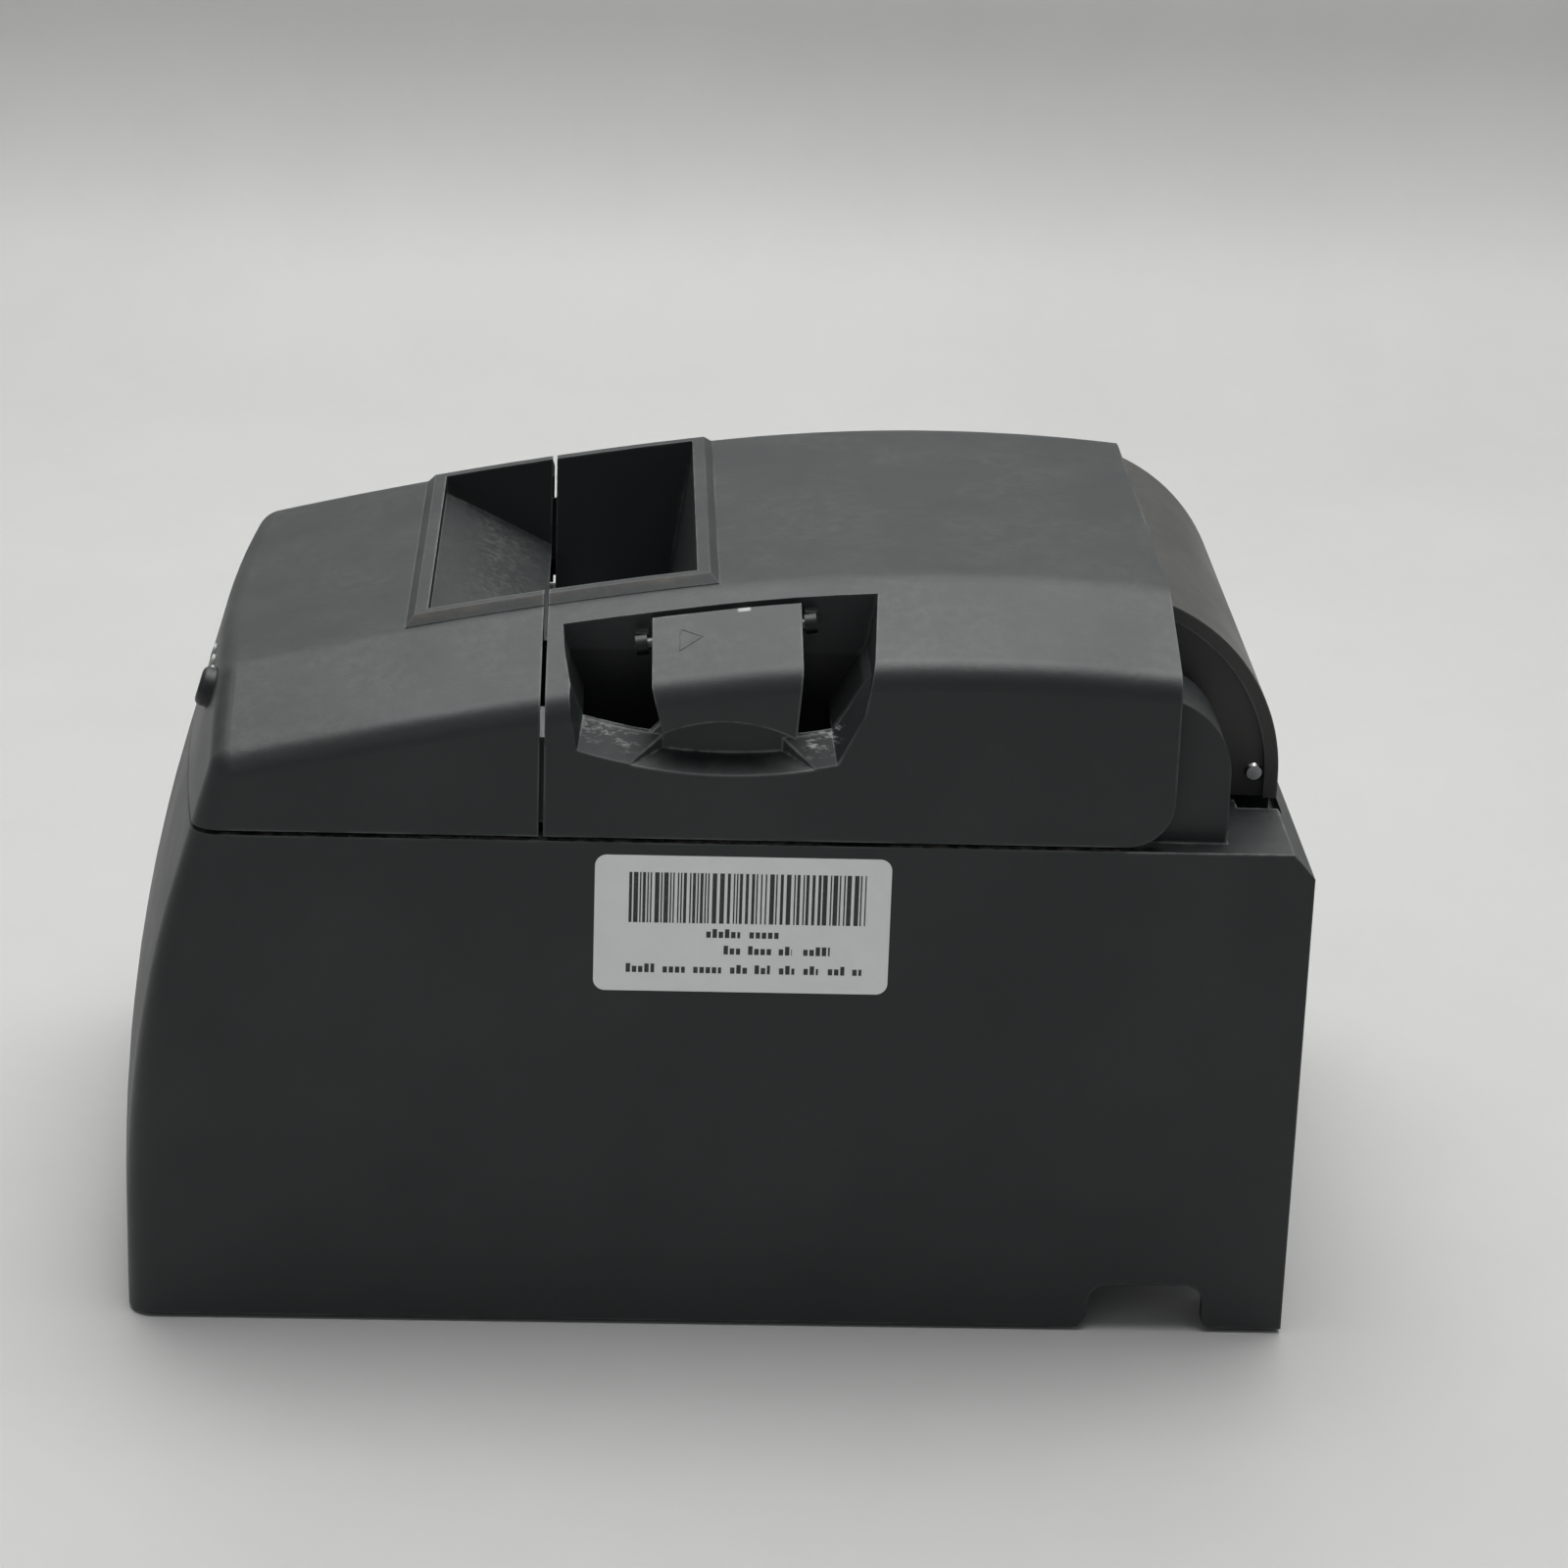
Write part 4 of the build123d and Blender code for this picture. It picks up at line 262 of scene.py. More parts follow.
def make_settled_dust():
    """A mask of dust in corners and, more thinly, on what faces up."""
    inputs = {"Corner": 0.6, "Flat": 0.1, "Reach": 0.004}
    tree, given, result = new_group("settled_dust", inputs, ("Mask",))
    open_sky = add(tree, "AmbientOcclusion", {"samples": 6}, Distance=given["Reach"])
    corner = spread(tree, open_sky.outputs["AO"], 0.62, 0.25)
    normal = add(tree, "NewGeometry").outputs["Normal"]
    upward = spread(tree, add(tree, "SeparateXYZ", Vector=normal).outputs["Z"], 0.25, 0.95)
    place = object_place(tree)
    crumbs = add(tree, "TexNoise", Vector=place, Scale=420.0, Detail=6.0, Roughness=0.7)
    drifts = add(tree, "TexNoise", Vector=place, Scale=60.0, Detail=3.0)
    crumb_mask = spread(tree, crumbs.outputs["Fac"], 0.35, 0.7)
    rough = product(tree, crumb_mask, spread(tree, drifts.outputs["Fac"], 0.3, 0.65))
    leaning = product(tree, upward, 1.0 - ANY_WAY_SHARE)
    leaning = maths(tree, "ADD", leaning, ANY_WAY_SHARE)
    in_corner = product(tree, corner, rough, given["Corner"], leaning)
    on_flat = product(tree, upward, rough, given["Flat"])
    tree.links.new(maths(tree, "ADD", in_corner, on_flat, clamp=True), result["Mask"])
    return tree


settled_dust = make_settled_dust()
print("group:", settled_dust.name)

# %% [markdown]
# ## A region of the surface
#
# Some marks belong to one place, such as the scuffs on the sill of the finger
# scoop. A soft-edged box limits a mask to that place. Where it can, the box takes
# its corners from a part's own box, so the mark follows the part.


# %% A soft region as a node group
def make_soft_region():
    """A mask that is 1 inside a soft-edged box."""
    inputs = {"Softness": 0.002}
    for letter in "XYZ":
        inputs[letter] = 0.0
        inputs["Half " + letter] = 0.01
    tree, given, result = new_group("soft_region", inputs, ("Mask",))
    place = add(tree, "SeparateXYZ", Vector=object_place(tree))
    mask = None
    for letter in "XYZ":
        offset = maths(tree, "SUBTRACT", place.outputs[letter], given[letter])
        away = maths(tree, "ABSOLUTE", offset)
        inside = maths(tree, "SUBTRACT", given["Half " + letter], away)
        share = maths(tree, "DIVIDE", inside, given["Softness"], clamp=True)
        mask = share if mask is None else maths(tree, "MULTIPLY", mask, share)
    tree.links.new(mask, result["Mask"])
    return tree


soft_region = make_soft_region()


def region(tree, spans, softness):
    """The soft region within three spans, along X, Y and Z, in metres."""
    values = {"Softness": softness}
    for letter, (low, high) in zip("XYZ", spans):
        values[letter] = (low + high) / 2
        values["Half " + letter] = (high - low) / 2
    return place_group(tree, soft_region, **values)["Mask"]


print("group:", soft_region.name)

# %% [markdown]
# ## Drawn and ground metal
#
# Sheet steel, shafts and blades carry fine parallel lines from rolling or
# grinding. Noise stretched a hundredfold along one axis gives lines. The group
# takes three scales, so that a shaft's lines run round it and a blade's along it.


# %% Ground lines as a node group
def make_ground_lines():
    """Height and tone of fine parallel lines."""
    inputs = {"Scale X": 40.0, "Scale Y": 4000.0, "Scale Z": 4000.0}
    tree, given, result = new_group("ground_lines", inputs, ("Height", "Tone"))
    place = object_place(tree)
    scales = {letter: given["Scale " + letter] for letter in "XYZ"}
    moved = stretched(tree, place, add(tree, "CombineXYZ", **scales).outputs[0])
    noise = add(tree, "TexNoise", Vector=moved, Scale=1.0, Detail=3.0, Roughness=0.6)
    lines = noise.outputs["Fac"]
    tree.links.new(lines, result["Height"])
    stains = add(tree, "TexNoise", Vector=place, Scale=45.0, Detail=4.0).outputs["Fac"]
    halves = (maths(tree, "MULTIPLY", lines, 0.5), maths(tree, "MULTIPLY", stains, 0.5))
    tone = maths(tree, "ADD", *halves)
    tree.links.new(spread(tree, tone, 0.3, 0.7), result["Tone"])
    return tree


ground_lines = make_ground_lines()
print("group:", ground_lines.name)

# %% [markdown]
# ## Building a material
#
# Each material starts from one Principled shader. What is the same all over is
# set on its sockets; what varies comes from the groups. The colour is a chain of
# mixes, from the clean surface to cloudiness, wear and dust, and on some plastics
# to painted shade and painted highlights: over adds one link of that chain and
# paint ends it.

# %% Start, mix and finish a material
materials = {}


def start_material(name, roughness=0.5, metallic=0.0, specular=0.5):
    """A new material in the list: its node tree and its Principled shader."""
    material = bpy.data.materials.new(name)
    materials[name] = material
    material.use_nodes = True
    shader = material.node_tree.nodes["Principled BSDF"]
    shader.inputs["Roughness"].default_value = roughness
    shader.inputs["Metallic"].default_value = metallic
    shader.inputs["Specular IOR Level"].default_value = specular
    return material.node_tree, shader


def over(tree, under, cover, mask):
    """The cover colour laid over another colour where the mask is 1."""
    mix = add(tree, "Mix", {"data_type": "RGBA"}, Factor=mask, _6=under, _7=cover)
    return mix.outputs[2]


def paint(tree, shader, tint):
    """The finished chain of colours on the shader."""
    tree.links.new(tint, shader.inputs["Base Color"])


def bump(tree, shader, height, strength, distance):
    """A bump that feeds the shader's normal."""
    made = add(tree, "Bump", Height=height, Strength=strength, Distance=distance)
    tree.links.new(made.outputs["Normal"], shader.inputs["Normal"])


def rgb(red, green, blue):
    """A colour with full alpha."""
    return (red, green, blue, 1.0)


def grey(level):
    """A neutral colour."""
    return rgb(level, level, level)


DUST = rgb(0.42, 0.40, 0.36)
WORN = rgb(0.17, 0.175, 0.175)
print("material helpers are ready")

# %% [markdown]
# ## Charcoal plastic
#
# Case, covers and lever are the same pigment with the same grain, and differ only
# in how much wear, dust, painted shade and painted highlight they carry. One
# function makes them all. Roughness follows the cloudiness a little, because
# handled plastic is shinier.


# %% The moulded plastic and its marks
def moulded_plastic(name, colours, rough, wear=0.5, corner=0.6, flat=0.05, grain=0.35, marks=()):
    """A pigmented, grained plastic; marks are (mask maker, colour) laid on last."""
    tree, shader = start_material(name, roughness=rough, specular=0.45)
    skin = place_group(tree, moulded_grain)
    worn = place_group(tree, edge_mask_wear_and_highlight, Amount=wear)["Mask"]
    dust = place_group(tree, settled_dust, Corner=corner, Flat=flat)["Mask"]
    tint = over(tree, *colours, skin["Cloud"])
    tint = over(tree, tint, WORN, worn)
    tint = over(tree, tint, DUST, dust)
    for make_mask, mark_colour in marks:
        tint = over(tree, tint, mark_colour, make_mask(tree))
    paint(tree, shader, tint)
    sheen = maths(tree, "SUBTRACT", rough + 0.04, maths(tree, "MULTIPLY", skin["Cloud"], 0.08))
    sheen = maths(tree, "ADD", sheen, maths(tree, "MULTIPLY", dust, 0.3), clamp=True)
    tree.links.new(sheen, shader.inputs["Roughness"])
    bump(tree, shader, skin["Height"], grain, 0.00006)


CHARCOAL = (rgb(0.0165, 0.0200, 0.0210), rgb(0.0200, 0.0238, 0.0248))  # clean and cloudy
print("moulded plastic is ready")

# %% [markdown]
# ## Marks that belong to one place
#
# A few marks tell how the printer is used: pale scuffs along the ridges of the
# finger scoop where nails catch, a brown film on the near rim of the paper exit,
# paper dust on its ramp and a small chip on the lever. Each is a noise or an edge
# mask inside a soft region. Two more are painted light: a near-black painted shade
# deep in the scoop and on the lugs of the lever's pin, which is soft regions alone,
# and pale painted highlights along the rims of the paper exit and the hinge ear.


# %% Scuffs, film, dust lines, painted shade and painted highlights
def scratchy(tree, scale, low, high, stretch=(1.0, 1.0, 1.0)):
    """A streaky noise as a mask."""
    place = object_place(tree)
    moved = stretched(tree, place, stretch)
    noise = add(tree, "TexNoise", Vector=moved, Scale=scale, Detail=7.0, Roughness=0.72)
    return spread(tree, noise.outputs["Fac"], low, high)


lever_low, lever_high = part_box("release_lever")
SCOOP_Y = (lever_low.y - 0.0140, lever_high.y + 0.0130)
SCOOP_Z = (0.1005, 0.1200)
SILL_FRONT_Y = (lever_low.y - 0.0125, lever_low.y - 0.0010)
SILL_REAR_Y = (lever_high.y, lever_high.y + 0.0075)
SILL_X, SILL_Z = (0.0640, 0.0700), (0.1030, 0.1115)
# where the painted shade lies: deep in the scoop, and on the lugs by the lever
DEEP_X, DEEP_Z = (0.0485, 0.0652), (0.1000, 0.1176)
LUG_X, LUG_Z = (0.0503, 0.0560), (0.1150, 0.1275)
LUG_NEAR, LUG_FAR = 0.0003, 0.0035  # a lug's ends, out from the lever's side
CHIP_X, CHIP_Y, CHIP_Z = (0.0515, 0.0529), (0.0044, 0.0069), (0.120, 0.130)
RIM_X, RIM_Y, RIM_Z = (0.0417, 0.0437), (-0.052, 0.001), (0.112, 0.130)
RAMP_X, RAMP_Y, RAMP_Z = (-0.041, 0.0405), (-0.046, -0.0275), (0.105, 0.119)
RAMP_DUST_AMOUNT = 0.16


def edge_scuffs_and_highlights(spans, radius, amount, evenness):
    """Pale lines along the edges inside a region: scuffs in the scoop, painted highlights at the
    paper exit and the hinge ear.
    """

    def mask(tree):
        values = {"Radius": radius, "Amount": amount, "Evenness": evenness}
        edges = place_group(tree, edge_mask_wear_and_highlight, Breakup_Scale=260.0, **values)["Mask"]
        return product(tree, region(tree, spans, 0.0015), edges)

    return mask


def sill_dust(y_span):
    """Pale crumbs rubbed into the sill of the scoop between two places."""

    def mask(tree):
        place = region(tree, (SILL_X, y_span, SILL_Z), 0.0018)
        return product(tree, place, scratchy(tree, 520.0, 0.50, 0.66, (1.0, 0.6, 1.8)))

    return mask


def rim_film(tree):
    """A brownish film on the near rim of the paper exit."""
    place = region(tree, (RIM_X, RIM_Y, RIM_Z), 0.0009)
    return product(tree, place, scratchy(tree, 150.0, 0.40, 0.70, (1.0, 0.4, 1.0)))


def ramp_dust(tree):
    """Thin paper dust towards the lip of the ramp."""
    place = region(tree, (RAMP_X, RAMP_Y, RAMP_Z), 0.007)
    return product(tree, place, scratchy(tree, 700.0, 0.42, 0.75), RAMP_DUST_AMOUNT)


def painted_scoop_shade(tree):
    """Painted shade, near black, deep in the scoop and on the lugs of the lever's pin."""
    deep_y = (SCOOP_Y[0] - 0.001, SCOOP_Y[1] + 0.001)
    mask = region(tree, (DEEP_X, deep_y, DEEP_Z), 0.0008)
    front_y = (lever_low.y - LUG_FAR, lever_low.y - LUG_NEAR)
    rear_y = (lever_high.y + LUG_NEAR, lever_high.y + LUG_FAR)
    for lug_y in (front_y, rear_y):
        lug = region(tree, (LUG_X, lug_y, LUG_Z), 0.0002)
        mask = maths(tree, "MAXIMUM", mask, lug)
    return mask


def lever_chip(tree):
    """A small pale chip on the upper edge of the lever."""
    place = region(tree, (CHIP_X, CHIP_Y, CHIP_Z), 0.0004)
    return product(tree, place, scratchy(tree, 900.0, 0.35, 0.5))


print("scoop marks between", round(SCOOP_Y[0], 4), "and", round(SCOOP_Y[1], 4))

# %% Mix the charcoal plastics
FILM = rgb(0.075, 0.060, 0.045)
# pale scuffs in the scoop; also the painted highlight along the hinge ear
SCUFF_AND_HIGHLIGHT = rgb(0.26, 0.27, 0.26)
BRIGHT_SCUFF = rgb(0.40, 0.40, 0.39)
DULL_SCUFF = rgb(0.20, 0.21, 0.21)
# pale painted highlights along the rims of the paper exit
EXIT_HIGHLIGHT = rgb(0.13, 0.135, 0.135)
# near black, for the painted shade in the scoop
PAINTED_SHADE = rgb(0.0045, 0.0050, 0.0055)
ridges = edge_scuffs_and_highlights(((0.0600, 0.0700), SCOOP_Y, SCOOP_Z), 0.0009, 2.6, 0.10)
lower_edge = edge_scuffs_and_highlights(((0.0700, 0.0720), SCOOP_Y, (SCOOP_Z[0], 0.1068)), 0.0008, 3.0, 0.85)
# painted highlights: pale lines along the exit rims and along the hinge ear
rear_exit_highlight = edge_scuffs_and_highlights(((0.0385, 0.0475), (-0.053, 0.004), (0.105, 0.131)), 0.0006, 2.2, 0.4)
front_exit_highlight = edge_scuffs_and_highlights(((-0.047, 0.0475), (-0.054, -0.0275), (0.112, 0.131)), 0.0006, 2.0, 0.3)
ear_highlight = edge_scuffs_and_highlights(((0.046, 0.072), (0.070, 0.105), (0.0885, 0.0925)), 0.0008, 2.2, 0.3)
FRONT_MARKS = ((rim_film, FILM), (ramp_dust, DUST), (front_exit_highlight, EXIT_HIGHLIGHT))
REAR_MARKS = (
    (rim_film, FILM),
    (rear_exit_highlight, EXIT_HIGHLIGHT),
    # painted shade deep in the scoop and on the lugs
    (painted_scoop_shade, PAINTED_SHADE),
    (sill_dust(SILL_FRONT_Y), SCUFF_AND_HIGHLIGHT),
    (sill_dust(SILL_REAR_Y), BRIGHT_SCUFF),
    (ridges, SCUFF_AND_HIGHLIGHT),
    (lower_edge, DULL_SCUFF),
)
LEVER_TONES = (rgb(0.019, 0.023, 0.024), rgb(0.024, 0.028, 0.029))
SHELL_TONES = (rgb(0.034, 0.034, 0.033), rgb(0.042, 0.041, 0.039))
TRAY_TONES = (rgb(0.016, 0.017, 0.018), rgb(0.022, 0.023, 0.024))
BUTTON_TONES = (rgb(0.014, 0.015, 0.016), rgb(0.02, 0.021, 0.022))
SOCKET_TONES = (rgb(0.012, 0.012, 0.013), rgb(0.018, 0.018, 0.019))
SENSOR_TONES = (rgb(0.010, 0.010, 0.012), rgb(0.016, 0.016, 0.018))

# the hinge ear gets a pale painted highlight along its edge
case_marks = ((ear_highlight, SCUFF_AND_HIGHLIGHT),)
moulded_plastic("case_plastic", CHARCOAL, 0.46, wear=0.3, corner=0.8, marks=case_marks)
moulded_plastic("front_plastic", CHARCOAL, 0.44, marks=FRONT_MARKS)
moulded_plastic("rear_plastic", CHARCOAL, 0.44, corner=0.75, marks=REAR_MARKS)
lever_marks = ((lever_chip, BRIGHT_SCUFF),)
moulded_plastic("lever_plastic", LEVER_TONES, 0.44, wear=0.7, marks=lever_marks)
moulded_plastic("shell_plastic", SHELL_TONES, 0.38, grain=0.2, flat=0.1)
moulded_plastic("tray_plastic", TRAY_TONES, 0.55, corner=1.0, flat=0.15)
moulded_plastic("button_plastic", BUTTON_TONES, 0.42, wear=0.4)
moulded_plastic("socket_plastic", SOCKET_TONES, 0.45)
moulded_plastic("sensor_plastic", SENSOR_TONES, 0.25, grain=0.1)
print("plastics:", sorted(materials))

# %% [markdown]
# ## Acetal gears and bearings
#
# Gears are milk-white acetal, a waxy plastic that lets a little light in, so it
# gets a touch of subsurface. Grease darkens the valleys between the teeth, and
# the corner mask finds those.


# %% Acetal
def acetal(name, colour, stain):
    """Waxy natural plastic with grease in its corners."""
    tree, shader = start_material(name, roughness=0.36)
    shader.inputs["Subsurface Weight"].default_value = 0.15
    shader.inputs["Subsurface Scale"].default_value = 0.0015
    skin = place_group(tree, moulded_grain, Scale=3000.0, Cloud_Scale=70.0)
    grease = place_group(tree, settled_dust, Corner=0.7, Flat=0.0, Reach=0.0015)["Mask"]
    tint = over(tree, colour, stain, maths(tree, "MULTIPLY", skin["Cloud"], 0.25))
    paint(tree, shader, over(tree, tint, rgb(0.20, 0.17, 0.12), grease))
    bump(tree, shader, skin["Height"], 0.12, 0.00004)


acetal("gear_plastic", rgb(0.78, 0.76, 0.69), rgb(0.70, 0.67, 0.58))
acetal("bearing_plastic", rgb(0.58, 0.55, 0.48), rgb(0.50, 0.47, 0.40))
print("acetal is ready")

# %% [markdown]
# ## Steel and aluminium
#
# Plated sheet, ground shafts, hardened blades and spring wire are all metal, so
# Metallic is 1 and the colour is the reflection's tint. They differ in the run of
# their lines, in roughness and in how stained they are.


# %% Metals
def run_of_lines(tree, scales):
    """Ground lines with a scale for each axis."""
    x, y, z = scales
    return place_group(tree, ground_lines, Scale_X=x, Scale_Y=y, Scale_Z=z)


def metal(name, bright, dull, rough, scales, dust=0.2):
    """A metal with ground lines, stains and a little dust."""
    tree, shader = start_material(name, roughness=rough, metallic=1.0)
    lines = run_of_lines(tree, scales)
    grime = place_group(tree, settled_dust, Corner=dust, Flat=dust * 0.2)["Mask"]
    worn = place_group(tree, edge_mask_wear_and_highlight, Amount=0.5, Radius=0.0003)["Mask"]
    tint = over(tree, dull, bright, lines["Tone"])
    tint = over(tree, tint, grey(0.85), worn)
    paint(tree, shader, over(tree, tint, rgb(0.20, 0.19, 0.17), grime))
    shine = maths(tree, "SUBTRACT", rough + 0.08, maths(tree, "MULTIPLY", lines["Tone"], 0.16))
    dulled = maths(tree, "ADD", shine, maths(tree, "MULTIPLY", grime, 0.4), clamp=True)
    tree.links.new(dulled, shader.inputs["Roughness"])
    tree.links.new(maths(tree, "SUBTRACT", 1.0, grime, clamp=True), shader.inputs["Metallic"])
    bump(tree, shader, lines["Height"], 0.15, 0.00002)


ALL_WAYS = (900.0, 900.0, 900.0)
metal("bright_steel", rgb(0.66, 0.66, 0.67), rgb(0.50, 0.50, 0.51), 0.26, (3500.0, 60.0, 60.0))
metal("sheet_steel", rgb(0.60, 0.61, 0.62), rgb(0.47, 0.48, 0.50), 0.40, (60.0, 2200.0, 2200.0))
metal("blade_steel", rgb(0.58, 0.59, 0.61), rgb(0.40, 0.41, 0.43), 0.24, (3000.0, 80.0, 3000.0))
metal("spring_steel", rgb(0.45, 0.46, 0.48), rgb(0.30, 0.31, 0.33), 0.33, ALL_WAYS)
# a dark steel for the lever's pin and spring, partly their own finish and partly painted shade of
# the scoop
metal("dark_steel_and_shade", rgb(0.16, 0.16, 0.165), rgb(0.09, 0.09, 0.095), 0.42, ALL_WAYS)
metal("screw_steel", grey(0.55), grey(0.38), 0.36, ALL_WAYS, dust=0.5)
metal("socket_metal", grey(0.66), rgb(0.52, 0.52, 0.53), 0.30, (60.0, 1800.0, 1800.0))
HEATSINK_TONES = (rgb(0.76, 0.76, 0.77), rgb(0.62, 0.62, 0.63))
metal("heatsink_aluminium", *HEATSINK_TONES, 0.42, (2400.0, 40.0, 40.0))
print("metals are ready")

# %% [markdown]
# ## Rubber
#
# The platen is ground rubber: dead matt, with a faint turned texture round it.
# The feet are moulded and pick up dust from the counter.


# %% Rubber
def rubber(name, colour, scales, dust):
    """Matt black rubber."""
    tree, shader = start_material(name, roughness=0.82, specular=0.3)
    lines = run_of_lines(tree, scales)
    dusty = place_group(tree, settled_dust, Corner=dust, Flat=dust, Reach=0.003)["Mask"]
    tint = over(tree, colour, rgb(0.05, 0.05, 0.052), lines["Tone"])
    paint(tree, shader, over(tree, tint, rgb(0.25, 0.24, 0.22), dusty))
    bump(tree, shader, lines["Height"], 0.3, 0.00005)


rubber("platen_rubber", rgb(0.020, 0.020, 0.022), (2600.0, 90.0, 90.0), 0.12)
rubber("foot_rubber", rgb(0.022, 0.022, 0.023), (1200.0, 1200.0, 1200.0), 0.4)
print("rubbers are ready")

# %% [markdown]
# ## Motors, head and electronics
#
# The motors are black-plated cans. The print head is glazed ceramic, brown and
# glossy. The boards are green solder mask over copper tracks: a brick pattern
# stands in for the tracks, seen only when the printer is open.


# %% Plated can, glazed ceramic, circuit board, film, lens
def plated_can():
    """Black plating over steel."""
    tree, shader = start_material("motor_steel", roughness=0.35, metallic=0.7)
    skin = place_group(tree, moulded_grain, Scale=1600.0)
    worn = place_group(tree, edge_mask_wear_and_highlight, Amount=0.8, Radius=0.0005)["Mask"]
    tint = over(tree, rgb(0.030, 0.031, 0.034), rgb(0.050, 0.051, 0.054), skin["Cloud"])
    paint(tree, shader, over(tree, tint, rgb(0.35, 0.35, 0.36), worn))
    bump(tree, shader, skin["Height"], 0.15, 0.00003)


RESISTOR_DROP = 0.003  # from the head's top to its line of resistors
RESISTOR_HALF = 0.0003


def glazed_ceramic():
    """The head's glazed strip, with a dark line of resistors near its top."""
    tree, shader = start_material("head_ceramic", roughness=0.18)
    low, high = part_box("thermal_head")
    line_z = high.z - RESISTOR_DROP
    spans = (
        (low.x, high.x),
        (low.y, high.y + 0.001),
        (line_z - RESISTOR_HALF, line_z + RESISTOR_HALF),
    )
    cloud = place_group(tree, moulded_grain, Cloud_Scale=90.0)["Cloud"]
    dots = region(tree, spans, 0.0002)
    tint = over(tree, rgb(0.36, 0.31, 0.24), rgb(0.44, 0.39, 0.31), cloud)
    paint(tree, shader, over(tree, tint, rgb(0.05, 0.04, 0.04), dots))
    shader.inputs["Coat Weight"].default_value = 0.6
    shader.inputs["Coat Roughness"].default_value = 0.08


def circuit_board():
    """Green solder mask with paler tracks."""
    tree, shader = start_material("board_green", roughness=0.32)
    place = object_place(tree)
    bricks = add(tree, "TexBrick", {"offset": 0.37}, Vector=place, Scale=160.0, Mortar_Size=0.035)
    tracks = bricks.outputs["Fac"]
    dust = place_group(tree, settled_dust, Corner=0.4, Flat=0.1)["Mask"]
    tint = over(tree, rgb(0.012, 0.095, 0.045), rgb(0.03, 0.18, 0.085), tracks)
    paint(tree, shader, over(tree, tint, DUST, dust))
    bump(tree, shader, tracks, 0.25, 0.00005)


def cable_film():
    """The flat cable's pale film with its conductors showing through."""
    tree, shader = start_material("cable_film", roughness=0.34)
    place = object_place(tree)
    waves = add(tree, "TexWave", {"bands_direction": "X"}, Vector=place, Scale=160.0)
    wires = waves.outputs["Fac"]
    mask = spread(tree, wires, 0.4, 0.6)
    tint = over(tree, rgb(0.62, 0.60, 0.55), rgb(0.34, 0.33, 0.30), mask)
    paint(tree, shader, tint)
    bump(tree, shader, wires, 0.3, 0.00005)


def frosted_lens():
    """The light pipes: pale, smoky and unlit."""
    tree, shader = start_material("lens", roughness=0.28)
    shader.inputs["Coat Weight"].default_value = 0.4
    shader.inputs["Subsurface Weight"].default_value = 0.3
    shader.inputs["Subsurface Scale"].default_value = 0.001
    skin = place_group(tree, moulded_grain, Scale=1500.0, Cloud_Scale=300.0)
    tint = over(tree, rgb(0.30, 0.34, 0.32), rgb(0.38, 0.42, 0.40), skin["Cloud"])
    paint(tree, shader, tint)
    bump(tree, shader, skin["Height"], 0.1, 0.00003)


for make in (plated_can, glazed_ceramic, circuit_board, cable_film, frosted_lens):
    make()
print("materials so far:", len(materials))

# %% [markdown]
# ## Label paper and ink
#
# The stock label is coated paper: nearly white, with a whisper of fibre and a
# soft grey smudge from handling. Its ink is a flat thermal black that lets a
# little paper show through.


# %% Paper and ink
def label_paper():
    """Coated white paper."""
    tree, shader = start_material("label_paper", roughness=0.46)
    skin = place_group(tree, moulded_grain, Scale=1500.0, Cloud_Scale=45.0)
    smudge = scratchy(tree, 60.0, 0.55, 0.85)
    tint = over(tree, rgb(0.93, 0.935, 0.925), rgb(0.88, 0.885, 0.88), skin["Cloud"])
    tint = over(tree, tint, rgb(0.55, 0.54, 0.52), product(tree, smudge, 0.35))
    paint(tree, shader, tint)
    bump(tree, shader, skin["Height"], 0.12, 0.00003)


def label_ink():
    """Thermal black, a little uneven."""
    tree, shader = start_material("label_ink", roughness=0.5)
    speckle = scratchy(tree, 1400.0, 0.5, 0.8)
    tint = over(tree, rgb(0.030, 0.030, 0.032), grey(0.14), speckle)
    paint(tree, shader, tint)


label_paper()
label_ink()
print("label materials are ready")

# %% [markdown]
# ## Dressing the parts
#
# The record says which finish each part has. The two covers share a slot but
# carry different marks, and the lever's pin and spring get a dark steel that also
# paints the shade of the scoop around them, so these are named here. Normals are
# left as the parts came; only the material changes.

# %% Give every part its material
FINISH_BY_PART = {
    "front_cover": "front_plastic",
    "rear_cover": "rear_plastic",
    "lever_pin": "dark_steel_and_shade",
    "lever_spring": "dark_steel_and_shade",
}


def dress(piece, material):
    """Puts one material on a piece."""
    piece.data.materials.clear()
    piece.data.materials.append(material)


for part in frame["record"]["subparts"]:
    name = part["node"]
    dress(frame["nodes"][name], materials[FINISH_BY_PART.get(name, part["material_slot"])])

# %% [markdown]
# ## Print on the label
#
# A stock label carries bars and a few lines of small print. Real bars encode a
# number, and these must not, so their widths come from a seeded draw. The small
# print is rows of plain dashes. Each mark is a thin rectangle that stands less
# than a hundredth of a millimetre proud of the paper. They could be a texture,
# but the edges of a mesh stay crisp at any distance.

# %% Print the bars and dashes
label_low, label_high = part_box("side_label")
INK_X = label_high.x - 0.000002  # the ink's back face, just inside the paper
INK_THICKNESS = 0.000010
BAR_UNIT = 0.000255
BAR_SPAN_Y = (0.0058, 0.0458)  # from the label's front edge
BAR_DROPS = (0.0030, 0.0121)  # top and bottom, down from the label's top edge
DASH, DASH_PITCH, WORD_GAP = 0.00075, 0.00105, 0.0010
DASH_HEIGHT = 0.0016
WORD_LENGTHS = (0.0022, 0.0062)
PRINT_LINES = ((0.0190, 0.0325, 0.0147), (0.0220, 0.0400, 0.0177), (0.0055, 0.0455, 0.0212))


